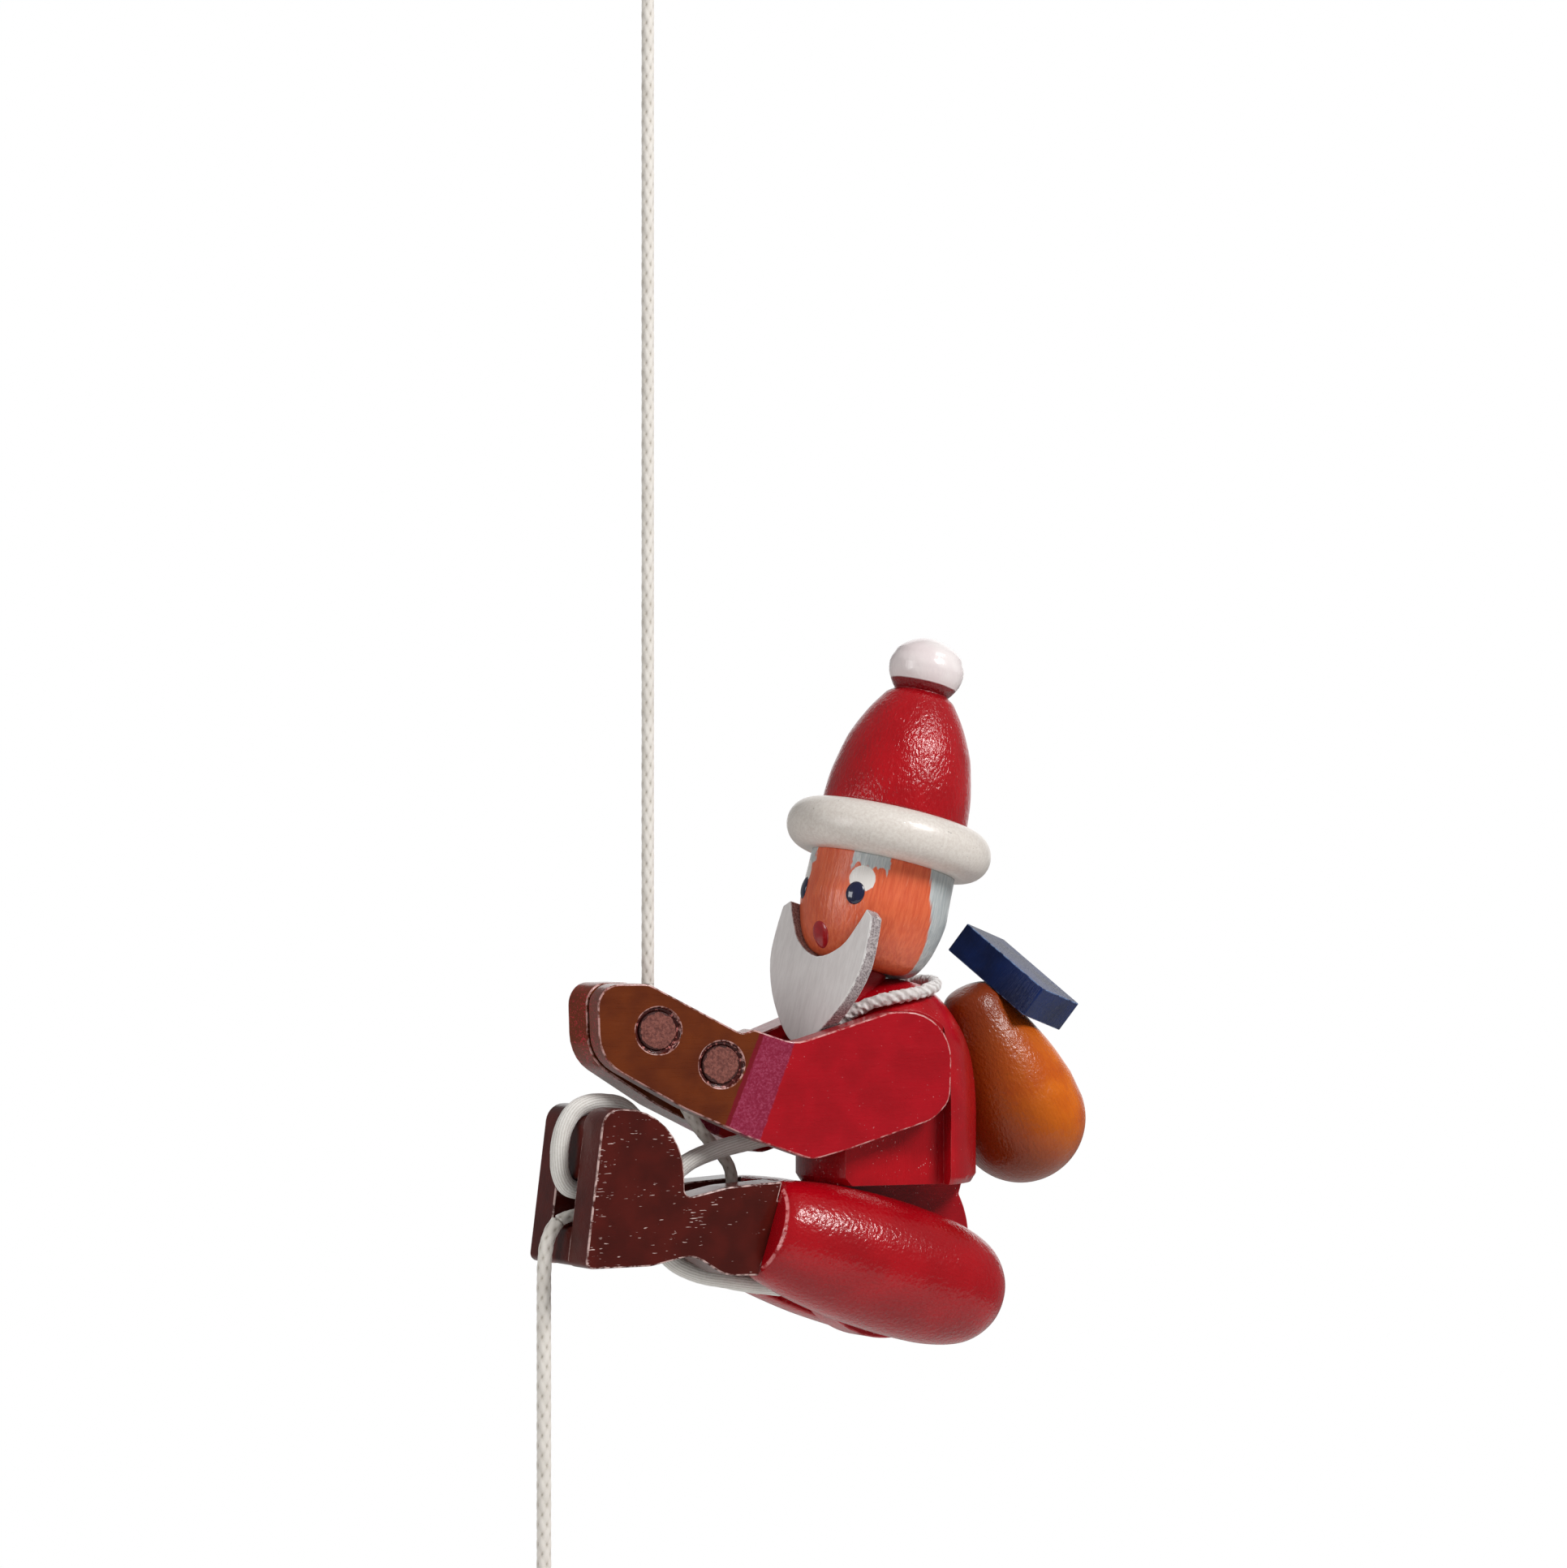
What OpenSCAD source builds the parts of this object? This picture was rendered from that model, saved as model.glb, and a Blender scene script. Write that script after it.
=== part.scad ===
// A climbing figure on a cord: a turned and sawn wooden figure in a red coat, with a beard and a sack.
// Its hands grip the hanging cord between two pegs, and an elastic pulls its hinged legs up.
// Millimetres. +X is the figure's left, -Y its front, +Z up. The origin is the inside top of the
// hanging loop. Pieces of the figure are drawn with z = 0 where the cord enters the top of the hands.

/* [Cord] */
// From the inside top of the hanging loop down to the top of the hands
hang_drop = 180; // [150:5:400]
// Thickness of the cord under the figure's weight
cord_d = 2; // [1.5:0.1:2.4]
// Thickness of the slack cord below the feet
pull_cord_d = 2.3; // [1.5:0.1:2.6]
// Length of the tied hanging loop
loop_l = 18; // [14:1:40]
// Width of the hanging loop
loop_w = 9; // [7:0.5:16]
// Thickness of a knot
knot_d = 5.4; // [4.5:0.1:7]
// Height of a knot
knot_h = 6; // [5:0.5:9]
// Length of the pull cord below the sole
pull_l = 56; // [40:1:200]
// Diameter of the pull bead
bead_d = 10; // [8:0.5:16]
// Thickness of the elastic
elastic_d = 2.9; // [2:0.1:3]

/* [Torso] */
// Radius of the turned torso
torso_r = 14.2; // [12.4:0.1:17.2]
// Height of the torso, from its base to the top of its dome
torso_h = 32.2; // [27:0.1:39]
// Thickness of the hip plate
hip_t = 6.2; // [5:0.1:7.6]
// Radius of the hip plate's disc
hip_r = 15; // [12.5:0.1:16]
// Gap between the torso's base and the thighs
thigh_gap = 0.3; // [0.2:0.05:1]
// Diameter of the hip axle
axle_d = 4; // [3:0.1:5]
// How far the hip axle goes into each thigh
axle_seat = 6; // [4:0.5:8]

/* [Arms] */
// Thickness of the arm boards
arm_t = 4.7; // [3.9:0.1:5.7]
// Angle of each arm board to the middle plane
arm_splay = 10.2; // [8.5:0.1:11]
// From the middle plane to each arm board at the fingertips
tip_gap = 0.3; // [0.25:0.05:0.8]
// Diameter of the two hand pegs
hand_peg_d = 5.9; // [4.9:0.1:6.2]
// Diameter of the chipped mouth round each hand peg
peg_mouth_d = 7.1; // [6.9:0.1:8]
// Diameter of the elastic's peg between the elbows
elbow_peg_d = 3; // [2.5:0.1:3.6]

/* [Legs] */
// Largest radius of the turned thighs
thigh_r = 10; // [8.4:0.1:12]
// From the hip axle forward to the thigh's front face
thigh_front = 27.3; // [26.6:0.1:33]
// From the hip axle back to the thigh's round end
thigh_back = 14.7; // [12.2:0.1:17.6]
// Slope of the thighs, down to the back
thigh_pitch = 16.5; // [14:0.1:19]
// From the middle plane to the thigh's turning axis
thigh_x = 6.5; // [5.6:0.1:7.8]
// Thickness of the boot boards
boot_t = 6; // [5:0.1:7.2]
// Thickness of the two spacers between the boots
spacer_t = 6.6; // [6.5:0.1:7.9]
// Height of the boots' tenons
tenon_h = 9; // [7.5:0.1:10.8]
// Length of the boots' tenons
tenon_l = 5; // [4:0.1:6]

/* [Head and hat] */
// Largest radius of the turned head
head_r = 11.75; // [9.8:0.05:12.4]
// Height of the head up to the hat's brim
head_h = 17; // [14.2:0.1:20.4]
// Backward lean of the head
head_lean = 15; // [12:0.5:18]
// Turn of the head towards its left
head_turn = 13; // [0:1:13]
// Radius of the neck
neck_r = 4.2; // [3.5:0.1:4.4]
// Outer radius of the brim
brim_r = 15.8; // [13.2:0.1:19]
// Thickness of the brim
brim_h = 7; // [5.8:0.1:8.4]
// Radius of the hat at its base
hat_r = 11.75; // [9.8:0.05:12.2]
// Height of the hat's cone, from the brim to the waist
hat_h = 19.8; // [16.5:0.1:23.8]
// Radius of the bobble
bobble_r = 6; // [5:0.1:7.2]
// From the head's axis forward to the back of the beard
beard_back = 7.4; // [7:0.1:8.2]
// Thickness of the beard
beard_t = 2.4; // [2:0.1:2.9]
// Half the width of the beard
beard_w = 10.5; // [9.5:0.1:12.5]
// From the bottom of the head down to the tip of the beard
beard_drop = 14.2; // [11.9:0.1:14.6]
// Thickness of the cord round the collar
collar_d = 2.3; // [1.9:0.1:2.4]

/* [Sack and parcel] */
// Largest radius of the turned sack
sack_r = 10.3; // [8.6:0.1:12.4]
// Height of the sack above its widest place
sack_h = 23.6; // [20:0.1:26]
// Forward lean of the sack
sack_lean = 27; // [22:0.5:32]
// Length of the parcel
parcel_l = 18.3; // [15.3:0.1:22]
// Width of the parcel
parcel_w = 12.5; // [10.4:0.1:15]
// Thickness of the parcel
parcel_h = 5.3; // [4.4:0.1:6.4]

/* [Fits] */
// Diameter of the hidden glued dowels
dowel_d = 4; // [3:0.1:4.8]
// Gap round a glued dowel or tenon
glue_gap = 0.05; // [0.03:0.01:0.1]
// Running gap round the hip axle
axle_gap = 0.05; // [0.03:0.01:0.1]
// Gap between the thighs and the hip plate, on each side
side_gap = 0.25; // [0.15:0.05:0.4]

/* [Hidden] */
round_fn = 64;
nudge = 0.05;

RED = [0.75, 0.05, 0.10];
DARK_RED = [0.45, 0.04, 0.08];
WHITE = [0.90, 0.88, 0.84];
SKIN = [0.85, 0.42, 0.26];
GREY = [0.76, 0.76, 0.74];
BROWN = [0.42, 0.18, 0.08];
BOOT_BROWN = [0.29, 0.09, 0.07];
AMBER = [0.70, 0.38, 0.10];
BLUE = [0.09, 0.17, 0.36];
WOOD = [0.76, 0.58, 0.38];

// Turned outlines, as [radius, height] shares that are scaled by the sizes above
torso_shape = [[1, 0.04], [1, 0.2], [1, 0.38], [0.97, 0.54], [0.895, 0.68], [0.77, 0.79], [0.6, 0.89],
    [0.4, 0.96], [0.2, 0.99]];
head_shape = [[0.82, 0], [0.9, 0.1], [0.96, 0.3], [1, 0.58], [0.99, 0.8], [0.95, 1]];
hat_shape = [[1, 0], [0.995, 0.15], [0.92, 0.4], [0.79, 0.61], [0.61, 0.79], [0.4, 0.93], [0.36, 1]];
bobble_shape = [[0.6, 0], [0.87, 0.06], [0.99, 0.3], [0.98, 0.55], [0.8, 0.82], [0.45, 0.96], [0, 1]];
bobble_h = 8.2;
thigh_shape = [[0.68, 0], [0.755, 0.02], [0.82, 0.06], [0.93, 0.2], [1, 0.38], [1, 0.55], [0.93, 0.71],
    [0.78, 0.85], [0.55, 0.945], [0.3, 0.985], [0, 1]];
sack_shape = [[0.96, 0.16], [0.79, 0.38], [0.6, 0.6], [0.46, 0.78], [0.37, 0.9], [0.24, 0.975], [0, 1]];

// Places of the figure's pieces, with z = 0 at the top of the hands
torso_y = 42.7;
torso_z = -31.7;
torso_top = torso_z + torso_h;
head_y = torso_y - torso_r + 9.5;
head_z = torso_top + 1.1;
arm_tip_y = -10.5;
arm_rear = 58.2;
shoulder = [49.7, torso_top - 12.9];
shoulder_r = 7.7;
hand_peg_r = hand_peg_d / 2;
peg_front = [-1.75, -6.85];
peg_rear = [8.3, -12.2];
elbow_peg = [22.5, -23.4];
elbow_seat = 2;
spacer_half = spacer_t / 2;
thigh_flat = hip_t / 2 + side_gap;
neck_l = 12;
spigot_l = 8;
hat_seat = 10;
knot_top = -loop_l;
knot_bottom = knot_top - knot_h;
pull_top = [0, -15.5, -35.8];
// Where two stretches of cord meet, both end square to this direction, a little apart
pull_lead = [0, -3, -2];
loop_lead = [0, -1, -0.1];
meet_gap = 0.15;
sack_gap = 0.29;
sack_z = torso_z + 9;
parcel_gap = 0.4;
// The highest place of a thigh under the torso's rim, above the hip axle, sets the axle's height
thigh_rim = sqrt(torso_r * torso_r - thigh_x * thigh_x) + thigh_gap;
thigh_top = max([for (p = turned(thigh_shape, thigh_r, thigh_front + thigh_back))
    let (ahead = thigh_front - p[1]) if (ahead * cos(thigh_pitch) - p[0] * sin(thigh_pitch) < thigh_rim)
    ahead * sin(thigh_pitch) + p[0] * cos(thigh_pitch)]);
hip_z = torso_z - thigh_top - thigh_gap;
ankle_y = torso_y - thigh_front * cos(thigh_pitch);
ankle_z = hip_z + thigh_front * sin(thigh_pitch);
dome_table = [for (p = turned(torso_shape, torso_r, torso_h)) [torso_z + p[1], p[0]]];
// The sack stands off the torso's back by the most that the two reach towards each other at one height
sack_outline = concat([for (a = [-90:11:-2]) sack_r * [cos(a), sin(a)]],
    turned(sack_shape, sack_r, sack_h));
sack_reach = max([for (p = sack_outline) let (z = sack_z + p[1] * cos(sack_lean) - p[0] * sin(sack_lean),
    back = z < torso_z + torso_h ? lookup(z, dome_table) : -100)
    p[0] * cos(sack_lean) + p[1] * sin(sack_lean) + back]);
sack_y = torso_y + sack_gap + sack_reach;
// The parcel lies on the sack: its underside clears the sack's farthest place in that direction
parcel_turn = [-16, 33.5, 20];
parcel_up = [cos(parcel_turn[0]) * sin(parcel_turn[1]) * cos(parcel_turn[2])
    + sin(parcel_turn[0]) * sin(parcel_turn[2]),
    cos(parcel_turn[0]) * sin(parcel_turn[1]) * sin(parcel_turn[2])
    - sin(parcel_turn[0]) * cos(parcel_turn[2]), cos(parcel_turn[0]) * cos(parcel_turn[1])];
sack_up = [0, -sin(sack_lean), cos(sack_lean)];
sack_swell = max([for (p = sack_outline) p[1] * (sack_up * parcel_up)
    + p[0] * norm(parcel_up - (sack_up * parcel_up) * sack_up)]);
parcel_aside = [0, -2.05, 22.7];
parcel_at = [0, sack_y, sack_z] + parcel_aside + parcel_up * (sack_swell + parcel_gap + parcel_h / 2
    - parcel_aside * parcel_up);

// The arm board, [along, up] from the fingertips, with the radius of each corner
arm_outline = [[-0.1, 0.3, 3.4], [8.2, 0.3, 4], [23.4, -7.6, 2], [25.2, -6.9, 1], [32, -9.2, 6],
    [shoulder[0] - 2, shoulder[1] + shoulder_r + 0.2, 6],
    [arm_rear - 0.2, shoulder[1] + shoulder_r + 0.1, 7.5], [arm_rear - 0.6, -18.6, 4],
    [54.6, -21.4, 5], [41, -25.6, 8], [34.8, -27.2, 5],
    [25, -23.7, 9], [14, -18.9, 12], [0.3, -11.3, 7]];
// The boot, [back, up] from the middle of the thigh's front face, with the radius of each corner
boot_outline = [[-32.3, -4.9, 1.2], [-29.1, 19.2, 3], [-15.4, 19.2, 10.5], [-15.1, 5.2, 1.2],
    [-7.5, 6.7, 8]];
boot_under = [[-8, -6.9, 6], [-13.6, -3.5, 5], [-21, -4.9, 5]];
toe_outline = [[-29.9, 8, 1], [-28.9, 17.9, 2.2], [-16.6, 17.9, 9.2], [-16.5, 8, 0.5]];
heel_outline = [[-32.1, -4.8, 1], [-31.3, 1.1, 2], [-16.5, 1.1, 1], [-16.5, -4.2, 0.8],
    [-21, -4.7, 4]];

// Routes of the cords, chosen by hand. The figure's stretch of the cord runs from the top of the
// hands, between the hand pegs and between the boots, to the sole.
middle_route = [[0, 0, 0], [0, 0.4, -2.2], [0, 1.8, -4.7], [0, 2.8, -7], [0, 3.5, -9.6], [0, 4.2, -12.4],
    [0, 5, -15.4], [-0.3, 6.5, -18.4], [-0.8, 8.3, -21], [-1.2, 10.6, -23.6], [-1.2, 13.2, -26.2],
    [-1.2, 15.1, -28.8], [-1.2, 15.4, -31.8], [-1, 13.8, -34], [-0.6, 11, -34.9], [0.2, 7, -35],
    [1, 3, -35.1], [1, 0, -35.1], [0.5, -5, -35.1], [0, -10, -35.1], [0, -13.4, -35.1], pull_top];
lower_route = [pull_top + meet_gap * unit(pull_lead), [0, -16.8, -37.4], [0, -17.6, -39.6], [0, -17.9, -42.2],
    [0, -18, -46], [0, -18, -60], [0, -18, -75], [0, -18, pull_top[2] - pull_l]];
span_route = [[1.5, 20.7, -24], [1.5, 16, -24.8], [1.5, 11, -25.8], [1.6, 6.5, -27.3],
    [1.6, 3.4, -29.4], [1.6, 1.8, -30.7], [1.6, 0.2, -31.3]];
// The elastic's loop round the toe, back and up from the middle of the thigh's front face
loop_route = [[1.6, -16.5, 6.4], [1.2, -19.5, 6.2], [0.6, -23.5, 6.2], [0, -27.5, 6.3],
    [0, -30.3, 6.9], [0, -31.6, 8.8], [0, -31.9, 11.2], [0, -31.7, 13.8], [0, -30.9, 16.4],
    [0, -29.2, 18.6], [0, -26.7, 19.6], [0, -23.8, 19.6], [-0.3, -21.1, 19], [-0.8, -18.7, 17.3],
    [-1.2, -16.8, 15], [-1.6, -15.4, 12.2], [-1.7, -14.6, 9], [-1.7, -14, 5], [-1.7, -13.9, 1],
    [-1.6, -13.5, -2.4], [-1, -11.5, -5.3], [-0.3, -7.5, -7.3], [0, -3, -8.3], [0, 2, -9.3],
    [0, 7, -10]];

function unit(v) = v / norm(v);
// A smooth line through the points, with steps points on each stretch
function spline(p, steps) = let (n = len(p)) concat([for (i = [0:n - 2], s = [0:steps - 1])
    let (t = s / steps, a = p[max(i - 1, 0)], b = p[i], c = p[i + 1], d = p[min(i + 2, n - 1)])
    0.5 * (2 * b + (c - a) * t + (2 * a - 5 * b + 4 * c - d) * t * t
        + (3 * b - a - 3 * c + d) * t * t * t)], [p[n - 1]]);
// A corner p between a and b, rounded with radius r
function corner(a, p, b, r) = let (u = unit(a - p), v = unit(b - p), half = acos(u * v) / 2,
    c = p + unit(u + v) * r / sin(half), s = p + u * r / tan(half) - c, e = p + v * r / tan(half) - c,
    a0 = atan2(s[1], s[0]), turn = (atan2(e[1], e[0]) - a0 + 540) % 360 - 180,
    n = max(2, ceil(abs(turn) / 12)))
    [for (i = [0:n]) c + r * [cos(a0 + turn * i / n), sin(a0 + turn * i / n)]];
// A closed outline of [x, y, corner radius]
function rounded(p) = let (n = len(p)) [for (i = [0:n - 1])
    let (a = p[(i + n - 1) % n], b = p[(i + 1) % n])
    each p[i][2] == 0 ? [[p[i][0], p[i][1]]]
        : corner([a[0], a[1]], [p[i][0], p[i][1]], [b[0], b[1]], p[i][2])];
// Turned outline from shares, with r and h in millimetres
function turned(shape, r, h) = [for (p = spline(shape, 3)) [max(p[0], 0) * r, p[1] * h]];

// A round cord along a route. side is a direction that the route never follows. lead_in and
// lead_out turn the end faces.
module tube(route, d, side, closed = false, sides = 8, lead_in = undef, lead_out = undef) {
    n = len(route);
    rings = [for (i = [0:n - 1])
        let (before = closed ? route[(i + n - 1) % n] : route[max(i - 1, 0)],
            after = closed ? route[(i + 1) % n] : route[min(i + 1, n - 1)],
            along = unit(i == 0 && !is_undef(lead_in) ? lead_in
                : i == n - 1 && !is_undef(lead_out) ? lead_out : after - before),
            u = unit(side - (side * along) * along),
            v = cross(along, u))
        each [for (k = [0:sides - 1]) route[i] + d / 2 * (cos(360 * k / sides) * u
            + sin(360 * k / sides) * v)]];
    last = closed ? n - 1 : n - 2;
    walls = [for (i = [0:last], k = [0:sides - 1])
        let (a = i * sides + k, b = i * sides + (k + 1) % sides, up = ((i + 1) % n) * sides,
            c = up + (k + 1) % sides, e = up + k)
        each [[a, b, c], [a, c, e]]];
    ends = closed ? [] : [[for (k = [sides - 1:-1:0]) k],
        [for (k = [0:sides - 1]) (n - 1) * sides + k]];
    mirror([0, 0, 0]) polyhedron(points = rings, faces = [for (f = concat(walls, ends))
        [for (k = [len(f) - 1:-1:0]) f[k]]], convexity = 6);
}

module turn_solid(outline) {
    rotate_extrude($fn = round_fn) polygon(concat([[0, outline[0][1]]], outline,
        [[0, outline[len(outline) - 1][1]]]));
}

// A knot of wound cord: three rounded turns on a core, with its top at z = 0
module knot() {
    turn_r = knot_h / 5;
    for (i = [0:2]) translate([0, 0, -turn_r * (1 + 1.5 * i)]) rotate_extrude($fn = 24)
        translate([knot_d / 2 - turn_r, 0]) circle(r = turn_r, $fn = 16);
    translate([0, 0, -knot_h]) cylinder(r = knot_d / 2 - turn_r, h = knot_h, $fn = 24);
}

module figure() {
    translate([0, 0, -hang_drop]) children();
}
module left_and_right(side) {
    mirror([side < 0 ? 1 : 0, 0, 0]) children();
}
// Local X runs back along the left arm board from its fingertips, Y up and Z outwards
module arm_frame() {
    translate([tip_gap, arm_tip_y, 0]) rotate([90, 0, 90 - arm_splay]) children();
}
// Local Z runs up the head's axis from the bottom of the head, and -Y is the way the face looks
module head_frame() {
    translate([0, head_y, head_z]) rotate([-head_lean, 0, 0]) rotate([0, 0, head_turn]) children();
}
module sack_frame() {
    translate([0, sack_y, sack_z]) rotate([sack_lean, 0, 0]) children();
}
// Local Z runs back along a thigh's axis from its front face
module thigh_frame() {
    translate([0, ankle_y, ankle_z]) rotate([-90 - thigh_pitch, 0, 0]) children();
}
// A board whose outline lies in the plane of Y and Z, from x = from to from + t
module board(outline, from, t) {
    translate([from, 0, 0]) rotate([90, 0, 90]) linear_extrude(t) polygon(outline);
}

module hanging_loop() {
    foot = cord_d / 2;
    half = loop_w / 2 - cord_d / 2;
    bow = [for (a = [-40:20:220]) [half * cos(a), 0, -half + cord_d / 2 + half * sin(a)]];
    right_leg = [[foot, 0, knot_top], [foot, 0, knot_top + 1.5], [foot + 0.9, 0, knot_top + 4]];
    left_leg = [for (i = [2:-1:0]) [-right_leg[i][0], 0, right_leg[i][2]]];
    color(WHITE) tube(concat(right_leg, bow, left_leg), cord_d, [0, 1, 0]);
}
module loop_knot() {
    color(WHITE) translate([0, 0, knot_top]) knot();
}
module cord_upper() {
    rings = 36;
    run = knot_bottom + hang_drop;
    color(WHITE) tube([for (i = [0:rings]) [0, 0, knot_bottom - run * i / rings]], cord_d, [1, 0, 0]);
}
module cord_middle() {
    color(WHITE) figure() tube(spline(middle_route, 2), cord_d, [1, 0, 0], lead_in = [0, 0, -1],
        lead_out = pull_lead);
}
module cord_lower() {
    color(WHITE) figure() tube(spline(lower_route, 3), pull_cord_d, [1, 0, 0], lead_in = pull_lead,
        lead_out = [0, 0, -1]);
}
module pull_bead() {
    bottom = pull_top[2] - pull_l;
    bore_r = pull_cord_d / 2 + 0.15;
    color(RED) figure() translate([0, lower_route[3][1] - 0.1, bottom - 0.05]) difference() {
        translate([0, 0, -bead_d * 0.45]) intersection() {
            sphere(d = bead_d, $fn = round_fn);
            cube([bead_d, bead_d, bead_d * 0.9], center = true);
        }
        translate([0, 0, -bead_d]) cylinder(r = bore_r, h = 2 * bead_d, $fn = 32);
    }
}
module end_knot() {
    color(WHITE) figure() translate([0, lower_route[3][1] - 0.1, pull_top[2] - pull_l]) {
        translate([0, 0, -bead_d * 0.9 - 0.1]) knot();
        translate([0, 0, -bead_d * 0.9 - 0.3]) cylinder(d = pull_cord_d, h = bead_d * 0.9 + 0.25,
            $fn = 24);
    }
}

module torso() {
    wall_in = 0.8;
    color(RED) figure() difference() {
        translate([0, torso_y, torso_z]) turn_solid(concat([[torso_r - wall_in, 0]],
            turned(torso_shape, torso_r, torso_h)));
        for (side = [1, -1]) left_and_right(side) arm_frame() translate([-5, -60, 0])
            cube([5 + arm_rear + 0.1, 80, 30]);
        head_frame() translate([0, 0, -neck_l]) cylinder(r = neck_r + glue_gap, h = 20, $fn = round_fn);
        head_frame() translate([0, 0, -nudge]) cylinder(r = head_r, h = 20, $fn = round_fn);
        hip_slot(glue_gap);
        dowel_bore(sack_bore_y, 12);
    }
}
// The slot in the torso's base that takes the hip plate's tongue
module hip_slot(gap) {
    translate([-hip_t / 2 - gap, torso_y - hip_tongue / 2 - gap, torso_z - 1])
        cube([hip_t + 2 * gap, hip_tongue + 2 * gap, hip_tongue_h + 1 + gap]);
}
hip_tongue = 17;
hip_tongue_h = 8;
hip_neck_y = 12.4;
hip_waist_z = torso_z - 2.3;
sack_bore_y = torso_y + hip_tongue / 2 + 0.8;
module dowel_bore(y, l) {
    translate([0, y, sack_z]) rotate([-90, 0, 0]) cylinder(d = dowel_d + 2 * glue_gap, h = l,
        $fn = round_fn);
}
module neck() {
    color(DARK_RED) figure() head_frame() {
        translate([0, 0, -neck_l + nudge]) cylinder(r = neck_r, h = neck_l - nudge, $fn = round_fn);
        cylinder(d = dowel_d + 1, h = spigot_l, $fn = round_fn);
    }
}
// A sawn disc with a neck behind, and the tongue that goes up into the torso
module hip_plate() {
    disc = [torso_y - 1.5, hip_z + 4.2];
    from = asin((hip_waist_z - disc[1]) / hip_r);
    to = -180 - asin((torso_z - disc[1]) / hip_r);
    steps = 60;
    edge = [for (i = [0:steps]) let (a = from + (to - from) * i / steps)
        disc + hip_r * [cos(a), sin(a)]];
    tongue = [for (p = [[-1, 0], [-1, hip_tongue_h], [1, hip_tongue_h], [1, 0]])
        [torso_y + p[0] * hip_tongue / 2, torso_z + p[1]]];
    color(DARK_RED) figure() difference() {
        board(concat([[torso_y + hip_neck_y, torso_z]], edge, tongue), -hip_t / 2, hip_t);
        translate([-hip_t, torso_y, hip_z]) rotate([0, 90, 0]) cylinder(
            d = axle_d + 2 * axle_gap, h = 2 * hip_t, $fn = round_fn);
    }
}
module head() {
    eave = 1;
    color(SKIN) figure() head_frame() difference() {
        turn_solid(concat([[head_r * head_shape[0][0] - eave, 0]],
            [for (p = turned(head_shape, head_r, head_h)) [p[0], max(p[1], 0)]]));
        translate([0, 0, -1]) cylinder(d = dowel_d + 1 + 2 * glue_gap, h = spigot_l + 1 + glue_gap,
            $fn = round_fn);
        translate([0, 0, head_h - hat_seat / 2]) cylinder(d = dowel_d + 2 * glue_gap, h = hat_seat,
            $fn = round_fn);
        beard_solid(30, glue_gap);
    }
}
// A crescent board whose horns reach up beside the face. more thickens it forwards, and gap grows it.
module beard_solid(more, gap) {
    horn = [beard_w - 1.8, 8.2];
    inner = [[horn[0], horn[1]], [7.3, 5.4], [4.8, 1.9], [0, -0.1], [-4.8, 1.9], [-7.3, 5.4],
        [-horn[0], horn[1]]];
    right = [[-beard_w + 0.3, 7.2], [-beard_w - 0.1, 3], [-beard_w + 0.1, -1.5],
        [-beard_w + 2.2, -6.6], [-4.8, -11.2], [-2, -beard_drop + 0.6], [0, -beard_drop]];
    left = [for (i = [len(right) - 1:-1:0]) [-right[i][0], right[i][1]]];
    edge = concat(spline(inner, 4), spline(right, 3), spline(left, 3));
    translate([0, -beard_back + gap, 0]) rotate([90, 0, 0]) linear_extrude(beard_t + more)
        offset_edge(edge, gap);
}
module offset_edge(edge, gap) {
    n = len(edge);
    polygon([for (i = [0:n - 1]) let (t = edge[(i + 1) % n] - edge[(i + n - 1) % n])
        edge[i] + (norm(t) > 0 ? gap * [t[1], -t[0]] / norm(t) : [0, 0]) * edge_side]);
}
edge_side = 1;
module beard() {
    color(GREY) figure() head_frame() beard_solid(0, 0);
}
module hat_brim() {
    round_r = brim_h / 2;
    color(WHITE) figure() head_frame() translate([0, 0, head_h]) difference() {
        union() {
            translate([0, 0, round_r]) rotate_extrude($fn = round_fn) translate([brim_r - round_r, 0])
                circle(r = round_r, $fn = 48);
            cylinder(r = brim_r - round_r, h = brim_h, $fn = round_fn);
        }
        translate([0, 0, -1]) cylinder(d = dowel_d + 2 * glue_gap, h = brim_h + 2, $fn = round_fn);
    }
}
module hat() {
    cone = turned(hat_shape, hat_r, hat_h);
    ball = [for (p = turned(bobble_shape, bobble_r, bobble_h)) [p[0], hat_h + 0.9 + p[1]]];
    figure() head_frame() translate([0, 0, head_h + brim_h]) {
        color(RED) difference() {
            turn_solid(concat([for (p = cone) [p[0], max(p[1], 0)]], ball));
            translate([0, 0, -1]) cylinder(d = dowel_d + 2 * glue_gap, h = hat_seat / 2 + 1,
                $fn = round_fn);
        }
    }
}
module hat_dowel() {
    from = head_h - hat_seat / 2 + 0.1;
    color(WOOD) figure() head_frame() translate([0, 0, from]) cylinder(d = dowel_d,
        h = brim_h + hat_seat - 0.2, $fn = round_fn);
}
// Heights of the collar's cord on the dome, as shares of the torso's height, by the angle from
// the front. It stays above the arm boards at the sides and dips between them in front.
collar_drape = [[0, 0.715], [12, 0.73], [24, 0.78], [36, 0.835], [47, 0.865], [70, 0.885],
    [100, 0.9], [140, 0.922], [180, 0.93]];
module collar_cord() {
    lift = collar_d / 2 + 0.15;
    steps = 40;
    route = [for (i = [0:steps - 1]) let (a = 360 * i / steps, turn = a > 180 ? 360 - a : a,
        z = torso_z + torso_h * lookup(turn, collar_drape), r = lookup(z, dome_table),
        out = unit([0.6, lookup(z - 0.3, dome_table) - lookup(z + 0.3, dome_table)]))
        [(r + lift * out[0]) * sin(a), torso_y - (r + lift * out[0]) * cos(a), z + lift * out[1]]];
    color(WHITE) figure() tube(route, collar_d, [0, 0, 1], closed = true);
}

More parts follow.
